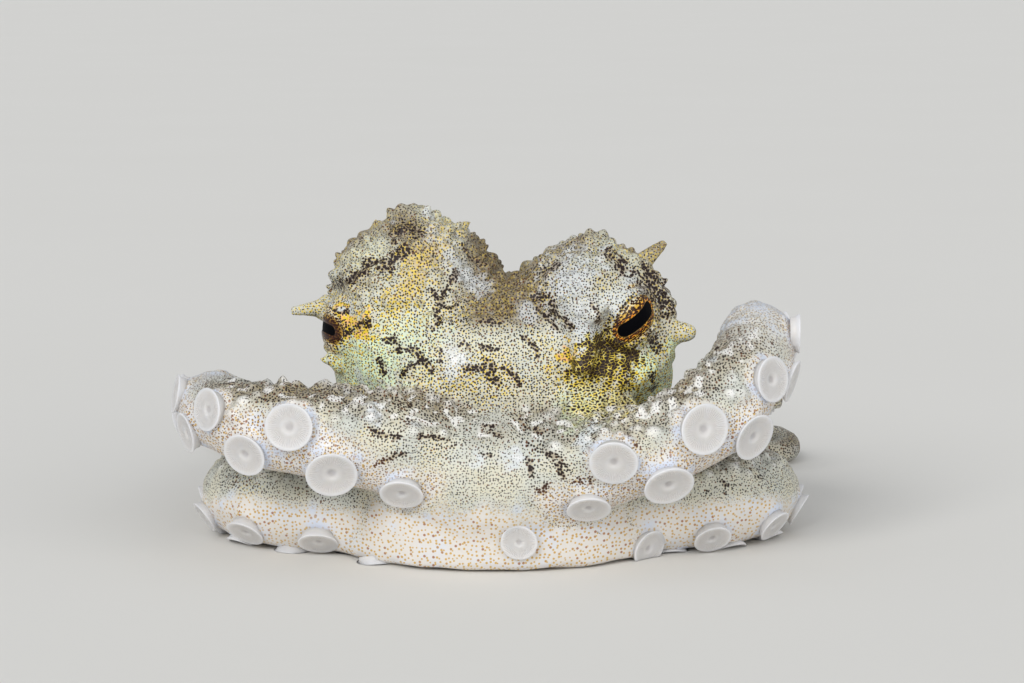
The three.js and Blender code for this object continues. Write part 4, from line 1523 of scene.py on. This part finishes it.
class Sheet:
    """One material's node tree."""

    def __init__(self, name: str) -> None:
        """Starts an empty material."""
        self.material = bpy.data.materials.new(name)
        self.material.use_nodes = True
        self.tree = self.material.node_tree
        self.tree.nodes.clear()

    def node(self, kind: str, settings: dict | None = None, sockets: dict | None = None,
             out: int | str = 0) -> Wire:
        """Adds a node.

        Args:
            kind: the node's type.
            settings: its properties.
            sockets: a value or a Wire for each input, by name or number.
            out: which output to return.

        Returns:
            That output.
        """
        made = self.tree.nodes.new(kind)
        for name, value in (settings or {}).items():
            setattr(made, name, value)
        for name, value in (sockets or {}).items():
            if isinstance(value, Wire):
                self.tree.links.new(value.socket, made.inputs[name])
            else:
                made.inputs[name].default_value = value
        return Wire(self, made.outputs[out]) if made.outputs else Wire(self, None)

    def attribute(self, name: str, out: str = "Fac") -> Wire:
        """A value that the mesh carries."""
        return self.node("ShaderNodeAttribute", {"attribute_name": name}, out=out)

    def place(self) -> Wire:
        """Object coordinates."""
        return self.node("ShaderNodeTexCoord", out="Object")

    def flat_place(self) -> Wire:
        """Object coordinates laid flat, by leaving out the axis that the surface faces."""
        x, y, z = self.parts(self.place())
        normal = self.parts(self.node("ShaderNodeNewGeometry", out="Normal"))
        facing_x, facing_y, facing_z = (part.magnitude() for part in normal)
        sideways = facing_x.over(facing_y.highest(facing_z))
        level = facing_z.over(facing_x.highest(facing_y))
        sockets = {0: x + (y - x) * sideways, 1: z + (y - z) * level}
        return self.node("ShaderNodeCombineXYZ", None, sockets)

    def parts(self, vector: Wire) -> tuple[Wire, Wire, Wire]:
        """The three parts of a vector."""
        made = [self.node("ShaderNodeSeparateXYZ", None, {0: vector}, out=k) for k in range(3)]
        return made[0], made[1], made[2]

    def noise(self, where: Wire, size: float, detail: float = 2.0) -> Wire:
        """Noise from 0 to 1 with features of a size, in mm."""
        return self.node("ShaderNodeTexNoise", {"noise_dimensions": "3D"},
                         {"Vector": where, "Scale": 1.0 / (size * MM), "Detail": detail})

    def mix(self, share: Value, first: Wire | Shade, second: Wire | Shade) -> Wire:
        """A colour between two."""
        return self.node("ShaderNodeMix", {"data_type": "RGBA"}, {0: share, 6: first, 7: second}, out=2)

    def end(self, shader: Wire) -> bpy.types.Material:
        """Connects the shader to the output."""
        self.node("ShaderNodeOutputMaterial", sockets={"Surface": shader})
        return self.material


def rgb(red: int, green: int, blue_and_shine: int) -> Shade:
    """A screen colour, 0 to 255, as linear light with alpha."""
    parts = [channel / 255.0 for channel in (red, green, blue_and_shine)]
    linear = [c / 12.92 if c <= 0.04045 else ((c + 0.055) / 1.055) ** 2.4 for c in parts]
    return (*linear, 1.0)


# ---- Finishes -------------------------------------------------------------------------


@dataclass(frozen=True)
class WetFlesh:
    """Flesh under a wet film: the share of light that enters, how far each colour goes as a
    share of the reach, the reach in mm, and the film's weight and roughness."""

    weight: float
    colours: Triple
    reach: float
    film: float
    film_roughness: float
    index: float = 1.38

    def shader(self, sheet: Sheet, colour: Wire, roughness: Value, normal: Wire) -> Wire:
        """The shader of a colour, a roughness and a bump."""
        sockets = {
            "Base Color": colour, "Roughness": roughness, "Normal": normal, "IOR": self.index,
            "Subsurface Weight": self.weight, "Subsurface Radius": self.colours,
            "Subsurface Scale": self.reach * MM,
            "Coat Weight": self.film, "Coat Roughness": self.film_roughness,
        }
        return sheet.node("ShaderNodeBsdfPrincipled", None, sockets)


@dataclass(frozen=True)
class Spots:
    """A layer of spots: the mean distance between them in mm, and how far they spread."""

    cell: float
    small: float
    large: float
    edge: float = 0.06
    vary: float = 0.12
    jitter: float = 0.84

    def layer(self, sheet: Sheet, where: Wire, spread: Value) -> tuple[Wire, Wire]:
        """The spots' mask, and a random value that differs from spot to spot.

        Args:
            sheet: the material.
            where: coordinates laid flat, in metres.
            spread: from 0, small, to 1, where the spots run together.

        Returns:
            The mask and the random value.
        """
        sockets = {"Vector": where, "Scale": 1.0 / (self.cell * MM), "Randomness": self.jitter}
        settings = {"voronoi_dimensions": "2D"}
        distance = sheet.node("ShaderNodeTexVoronoi", settings, sockets, out="Distance")
        colour = sheet.node("ShaderNodeTexVoronoi", settings, sockets, out="Color")
        chance = sheet.parts(colour)[0]
        radius = spread * (self.large - self.small) + self.small + (chance - 0.5) * self.vary
        return 1.0 - distance.step(radius - self.edge, radius + self.edge), chance


@dataclass(frozen=True)
class Scales:
    """A net of dark scales: their size in mm, their stretch, and the lines between them."""

    cell: float = 0.2
    stretch: Triple = (0.8, 1.2, 1.0)
    closed: float = 0.03
    gone: float = 0.42

    def layer(self, sheet: Sheet, where: Wire, spread: Wire) -> Wire:
        """The scales' mask, where they shrink to dots and vanish as the spread falls to 0."""
        stretched = sheet.node("ShaderNodeMapping", {"vector_type": "POINT"},
                               {"Vector": where, "Scale": self.stretch, "Rotation": (0.0, 0.0, -0.3)})
        sockets = {"Vector": stretched, "Scale": 1.0 / (self.cell * MM), "Randomness": 0.95}
        settings = {"feature": "DISTANCE_TO_EDGE", "voronoi_dimensions": "2D"}
        distance = sheet.node("ShaderNodeTexVoronoi", settings, sockets)
        line = spread * (self.closed - self.gone) + self.gone
        return distance.step(line - 0.04, line + 0.04)


@dataclass(frozen=True)
class SkinFinish:
    """Moist skin with dark and yellow spots over a pale ground, clear on the suckers' side."""

    cream: Shade = rgb(209, 205, 186)
    grey: Shade = rgb(196, 198, 189)
    gold: Shade = rgb(212, 168, 60)
    vivid: Shade = rgb(222, 200, 44)
    # Greenish blue tint, lightened as a painted sheen.
    sheen: Shade = rgb(222, 246, 206)
    # Whitish, also used for painted glints.
    pale: Shade = rgb(208, 212, 215)
    # Brown, also used as painted shade.
    dusk: Shade = rgb(110, 90, 54)
    yellow: Shade = rgb(226, 196, 48)
    bruise: Shade = rgb(140, 112, 72)
    umber: Shade = rgb(36, 25, 20)
    black: Shade = rgb(30, 14, 11)
    bark: Shade = rgb(34, 16, 9)
    brown: Shade = rgb(84, 52, 16)
    rust: Shade = rgb(98, 60, 32)
    knob: Shade = rgb(240, 238, 235)
    clear: Shade = rgb(219, 214, 208)
    # Bluish tint of the flesh, also used as painted shine.
    blue_and_shine: Shade = rgb(203, 214, 234)
    orange: Shade = rgb(250, 168, 16)
    tan: Shade = rgb(150, 88, 24)
    amber: Shade = rgb(196, 154, 22)
    dark_spots: Spots = Spots(0.17, 0.15, 0.6)
    yellow_spots: Spots = Spots(0.19, 0.12, 0.46)
    flesh_spots: Spots = Spots(0.26, 0.16, 0.31)
    scales: Scales = Scales()
    upper_flesh: WetFlesh = WetFlesh(0.08, (1.0, 0.7, 0.45), 0.3, 0.08, 0.25)
    clear_flesh: WetFlesh = WetFlesh(0.16, (1.0, 0.92, 0.85), 0.3, 0.2, 0.2)

    def build(self) -> bpy.types.Material:
        """The material."""
        sheet = Sheet("octopus_skin")
        where = sheet.place()
        marks = {pigment: sheet.attribute(pigment.value) for pigment in Pigment}
        flat = sheet.flat_place()
        upper = self._upper(sheet, where, flat, marks)
        under = self._under(sheet, where, flat, marks)
        both = sheet.node("ShaderNodeMixShader", None, {0: marks[Pigment.FLESH], 1: upper, 2: under})
        return sheet.end(both)

    def _bump(self, sheet: Sheet, height: Wire, depth: float) -> Wire:
        """A bump of a depth in mm."""
        sockets = {"Strength": 1.0, "Distance": depth * MM, "Height": height}
        return sheet.node("ShaderNodeBump", None, sockets)

    def _upper(self, sheet: Sheet, where: Wire, flat: Wire, marks: dict[Pigment, Wire]) -> Wire:
        """The spotted skin of the upper side."""
        broad = sheet.noise(where, 2.4)
        fine = sheet.noise(where, 0.35, 3.0)
        net, pale, knob = marks[Pigment.NET], marks[Pigment.PALE_AND_SHINE], marks[Pigment.KNOB]
        ground = sheet.mix(broad.step(0.35, 0.65), self.cream, self.grey)
        # Brown, and painted shade in the crease under the head and the dip between the mounds.
        ground = sheet.mix(marks[Pigment.BROWN_AND_SHADE] * 0.95, ground, self.dusk)
        # The greenish blue tint, lightened as a painted sheen.
        ground = sheet.mix(marks[Pigment.TINT_AND_SHEEN] * 0.85, ground, self.sheen)
        warm = sheet.mix(marks[Pigment.GOLD].step(0.74, 0.94), self.gold, self.orange)
        ground = sheet.mix(marks[Pigment.GOLD].step(0.45, 1.0) * fine.step(0.0, 0.7) * 0.9, ground, warm)
        # Whitish patches, and painted glints.
        ground = sheet.mix(pale * 0.9, ground, self.pale)
        ground = sheet.mix(knob.step(0.25, 0.9) * 0.75, ground, self.knob)
        merged = marks[Pigment.DARK].step(0.4, 0.8)
        ground = sheet.mix(merged * 0.6, ground, self.bruise)
        ground = sheet.mix(net.step(0.3, 0.8) * 0.85, ground, self.vivid)
        ground = sheet.mix(net.step(0.82, 0.98) * 0.85, ground, self.brown)
        ground = sheet.mix(fine.step(0.25, 0.75) * 0.2, ground, self.grey)
        spread = marks[Pigment.GOLD] * 0.9 + 0.1 - pale * 0.5
        spots, _ = self.yellow_spots.layer(sheet, flat, spread)
        clear = marks[Pigment.GOLD].step(0.1, 0.5) * 0.75 + 0.1
        clear = clear + marks[Pigment.TINT_AND_SHEEN] * 0.3 - knob * 0.4
        # Fewer yellow spots under the brown and the painted shade.
        clear = clear * (1.0 - marks[Pigment.BROWN_AND_SHADE] * 0.5)
        ground = sheet.mix(spots * clear, ground, self.yellow)
        spread = marks[Pigment.DARK] - pale * 0.1 - knob * 0.3 - net * 0.3
        spots, chance = self.dark_spots.layer(sheet, flat, spread)
        pigment = sheet.mix(merged, self.umber, self.black)
        pigment = sheet.mix(chance.step(0.8, 0.95) * (1.0 - merged), pigment, self.rust)
        colour = sheet.mix(spots * (1.0 - net.step(0.55, 0.8)), ground, pigment)
        colour = sheet.mix(self.scales.layer(sheet, flat, net), colour, self.bark)
        relief = fine * 0.6 + sheet.noise(where, 0.12) * 0.4
        bump = self._bump(sheet, relief, 0.05)
        return self.upper_flesh.shader(sheet, colour, 0.48 + 0.16 * broad, bump)

    def _under(self, sheet: Sheet, where: Wire, flat: Wire, marks: dict[Pigment, Wire]) -> Wire:
        """The clear flesh of the suckers' side."""
        broad = sheet.noise(where, 1.6)
        # Painted blue shine over the flesh's bluish tint, at random and where the pale mark lies.
        shine = (broad.step(0.48, 0.72) * 0.4).highest(marks[Pigment.PALE_AND_SHINE])
        bare = 1.0 - marks[Pigment.PALE_AND_SHINE] * 0.8
        ground = sheet.mix(shine, self.clear, self.blue_and_shine)
        spots, chance = self.flesh_spots.layer(sheet, flat, broad)
        pigment = sheet.mix(chance.step(0.82, 0.97), self.amber, self.tan)
        colour = sheet.mix(spots * bare * 0.85, ground, pigment)
        dots, _ = self.dark_spots.layer(sheet, flat, marks[Pigment.DARK])
        colour = sheet.mix(dots * bare * marks[Pigment.DARK].step(0.0, 0.1), colour, self.rust)
        bump = self._bump(sheet, sheet.noise(where, 0.3, 3.0), 0.03)
        return self.clear_flesh.shader(sheet, colour, 0.36 + 0.15 * broad, bump)


@dataclass(frozen=True)
class SuckerFinish:
    """Translucent cups with a soft pale rim, finely rayed discs and a small opening painted darker, as
    shade.
    """

    rim: Shade = rgb(211, 214, 222)
    disc: Shade = rgb(210, 207, 204)
    # Darker: painted shade in the opening, and the colour of the ring and the rays.
    centre: Shade = rgb(192, 188, 186)
    rays: int = 52
    flesh: WetFlesh = WetFlesh(0.7, (1.0, 0.95, 0.9), 0.9, 0.12, 0.25)

    def build(self) -> bpy.types.Material:
        """The material."""
        sheet = Sheet("octopus_sucker")
        where = sheet.place()
        across, along, height = sheet.parts(sheet.attribute("disc", "Vector"))
        reach = (across * across + along * along) ** 0.5
        on_disc = height.step(0.1, 0.3)
        cloud = sheet.noise(where, 0.5)
        # The opening in the middle is painted darker, as shade in the recess.
        colour = sheet.mix(reach.step(0.08, 0.2), self.centre, self.disc)
        ring = reach.step(0.6, 0.68) * (1.0 - reach.step(0.7, 0.78))
        colour = sheet.mix(reach.step(0.8, 0.98) * 0.4, colour, self.rim)
        colour = sheet.mix(ring * 0.15, colour, self.centre)
        colour = sheet.mix(cloud.step(0.4, 0.8) * 0.25, colour, self.rim)
        wave = (across.angle_to(along) * float(self.rays)).sine()
        rays = wave * reach.step(0.2, 0.5) * (1.0 - reach.step(0.8, 0.9)) * on_disc
        colour = sheet.mix(rays.step(0.0, 1.0) * 0.42, colour, self.centre)
        bump = sheet.node("ShaderNodeBump", None, {"Distance": 0.02 * MM, "Height": cloud - rays * 0.5})
        return sheet.end(self.flesh.shader(sheet, colour, 0.42 + 0.15 * cloud, bump))


@dataclass(frozen=True)
class EyeFinish:
    """A black bar pupil, dark flecks on a glowing iris beside it, and spotted cream beyond."""

    plan: EyePlan
    cream: Shade = rgb(222, 216, 190)
    gold: Shade = rgb(222, 176, 70)
    glow: Shade = rgb(240, 138, 24)
    brown: Shade = rgb(50, 24, 14)
    black: Shade = (0.001, 0.001, 0.002, 1.0)
    dark_spots: Spots = Spots(0.17, 0.16, 0.58)
    yellow_spots: Spots = Spots(0.2, 0.12, 0.5)

    def build(self) -> bpy.types.Material:
        """The material."""
        sheet = Sheet(f"octopus_{self.plan.name}")
        flat = sheet.flat_place()
        spot = sheet.attribute("plan", "Vector")
        along, across, _ = sheet.parts(spot)
        bowed = across + self.plan.bow * (along * along - 1.0)
        long, wide = self.plan.bar
        past = (along.magnitude() - (long - wide)).highest(0.0)
        outside = (past * past + bowed * bowed) ** 0.5 - wide
        ground = sheet.mix(outside.step(0.08, 0.3), self.glow, self.gold)
        ground = sheet.mix(outside.step(0.35, 0.6), ground, self.cream)
        edge = 1.0 - outside.step(0.02, 0.06)
        spots, _ = self.yellow_spots.layer(sheet, flat, 0.5)
        ground = sheet.mix(spots * 0.85, ground, self.gold)
        dots, _ = self.dark_spots.layer(sheet, flat, 0.5)
        colour = sheet.mix(dots * outside.step(0.3, 0.5), ground, self.brown)
        flecks = sheet.node("ShaderNodeMapping", {"vector_type": "POINT"},
                            {"Vector": spot, "Scale": (5.0, 10.0, 8.0)})
        sockets = {"Vector": flecks, "Scale": 1.0, "Randomness": 1.0}
        distance = sheet.node("ShaderNodeTexVoronoi", None, sockets, out="Distance")
        radius = 0.66 - 0.5 * outside.step(0.2, 0.9)
        mask = 1.0 - distance.step(radius - 0.1, radius + 0.1)
        colour = sheet.mix(mask, colour, self.brown)
        near = 1.0 - outside.step(0.15, 0.6)
        colour = sheet.mix(near * self.plan.veil, colour, self.brown)
        colour = sheet.mix(edge * (0.7 - mask * 0.5) * (1.0 - self.plan.veil), colour, self.gold)
        inside = 1.0 - outside.step(-0.02, 0.025)
        colour = sheet.mix(inside, colour, self.black)
        sockets = {
            "Base Color": colour,
            "Roughness": 0.3 + 0.3 * inside,
            "IOR": 1.12,
            "Coat Weight": 0.4 - 0.4 * inside,
            "Coat Roughness": 0.05,
        }
        return sheet.end(sheet.node("ShaderNodeBsdfPrincipled", None, sockets))


@dataclass(frozen=True)
class FloorFinish:
    """Plain pale floor paper."""

    colour: Shade = rgb(222, 220, 215)

    def build(self) -> bpy.types.Material:
        """The material."""
        sheet = Sheet("studio_floor")
        shade = sheet.noise(sheet.place(), 40.0)
        colour = sheet.mix(shade * 0.06, self.colour, (1.0, 1.0, 1.0, 1.0))
        return sheet.end(sheet.node("ShaderNodeBsdfPrincipled", None,
                                    {"Base Color": colour, "Roughness": 0.85}))


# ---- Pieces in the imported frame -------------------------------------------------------


@dataclass(frozen=True)
class Setting:
    """Where the animal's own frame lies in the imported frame, in mm."""

    shift: Vector

    @classmethod
    def from_eye(cls, plan: EyePlan) -> "Setting":
        """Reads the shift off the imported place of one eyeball."""
        low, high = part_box(plan.name)
        return cls((low + high) / 2 / MM - Vector(plan.centre))

    def spot(self, point: Triple) -> Vector:
        """A point of the animal's own frame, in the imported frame, in metres."""
        return (Vector(point) + self.shift) * MM

    def piece(self, name: str, mesh: bpy.types.Mesh, material: bpy.types.Material, slot: str,
              nodes: Sequence[str] = ()) -> bpy.types.Object:
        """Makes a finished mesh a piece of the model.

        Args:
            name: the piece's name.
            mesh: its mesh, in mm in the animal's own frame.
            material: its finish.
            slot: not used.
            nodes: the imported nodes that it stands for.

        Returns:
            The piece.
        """
        mesh.transform(Matrix.Scale(MM, 4) @ Matrix.Translation(self.shift))
        mesh.polygons.foreach_set("use_smooth", [True] * len(mesh.polygons))
        mesh.materials.clear()
        mesh.materials.append(material)
        mesh.name = name
        piece = linked(name, mesh)
        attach(piece, BODY)
        if nodes:
            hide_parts(*nodes)
        LOG.info("%s: %d triangles", name, triangle_count(mesh))
        return piece


@dataclass(frozen=True)
class Lamp:
    """A far soft light: the way it stands, how wide it looks in degrees, and its strength."""

    name: str
    azimuth: float
    elevation: float
    width: float
    strength: float

    def add(self) -> None:
        """Adds the light."""
        light = bpy.data.lights.new(self.name, "SUN")
        light.energy = self.strength
        light.angle = math.radians(self.width)
        way = Vector(pointing(self.azimuth, self.elevation))
        linked(self.name, light).rotation_euler = way.to_track_quat("Z", "Y").to_euler()


@dataclass(frozen=True)
class Studio:
    """Camera, floor and soft light."""

    target: Triple = (0.9, 0.0, 12.3)
    distance: float = 0.1706
    elevation: float = 8.0
    lens: float = 100.0
    floor_size: float = 3.0
    sky: Shade = (0.93, 0.96, 1.0, 1.0)
    sky_strength: float = 0.5
    lamps: tuple[Lamp, ...] = (
        Lamp("key", -28.0, 31.0, 30.0, 1.8),
        Lamp("fill", 38.0, 18.0, 60.0, 1.1),
    )

    def build(self, setting: Setting) -> None:
        """Adds everything to the scene."""
        scene = bpy.context.scene
        target = setting.spot(self.target)
        lift = math.radians(self.elevation)
        lens = bpy.data.cameras.new("camera")
        lens.lens = self.lens
        lens.clip_start = 0.01
        lens.clip_end = 20.0
        camera = linked("camera", lens)
        camera.location = target + Vector((0, -math.cos(lift), math.sin(lift))) * self.distance
        camera.rotation_euler = (math.pi / 2 - lift, 0.0, 0.0)
        scene.camera = camera
        for lamp in self.lamps:
            lamp.add()
        self._floor()
        world = bpy.data.worlds.new("studio")
        world.use_nodes = True
        background = world.node_tree.nodes["Background"]
        background.inputs["Color"].default_value = self.sky
        background.inputs["Strength"].default_value = self.sky_strength
        scene.world = world
        scene.view_settings.view_transform = "Standard"

    def _floor(self) -> None:
        """Adds the floor."""
        bm = bmesh.new()
        bmesh.ops.create_grid(bm, x_segments=8, y_segments=8, size=self.floor_size)
        mesh = meshed(bm, "floor")
        mesh.materials.append(FloorFinish().build())
        linked("floor", mesh)


def main() -> None:
    """Builds the animal, its finishes and the studio."""
    logging.basicConfig(level=logging.INFO, format="%(message)s")
    setting = Setting.from_eye(EYES[0])
    Studio().build(setting)
    arms = [Arm(plan) for plan in ARM_PLANS]
    flesh = [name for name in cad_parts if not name.startswith("eye")]
    skin = Skin(arms).build()
    faces = [tuple(face.vertices) for face in skin.polygons]
    tree = BVHTree.FromPolygons([vert.co.copy() for vert in skin.vertices], faces)
    setting.piece("octopus_skin", skin, SkinFinish().build(), "skin", sorted(flesh))
    finish = SuckerFinish().build()
    for arm in arms:
        mesh, spots = SuckerRow(arm, tree).build()
        Surface(mesh).carry("disc", spots)
        setting.piece(f"suckers_{arm.plan.name}", mesh, finish, "skin_under")
    for plan in EYES:
        mesh, place = Eye(plan).build()
        Surface(mesh).carry("plan", place)
        setting.piece(f"{plan.name}_ball", mesh, EyeFinish(plan).build(), "eye", [plan.name])


if __name__ == "__main__":
    main()
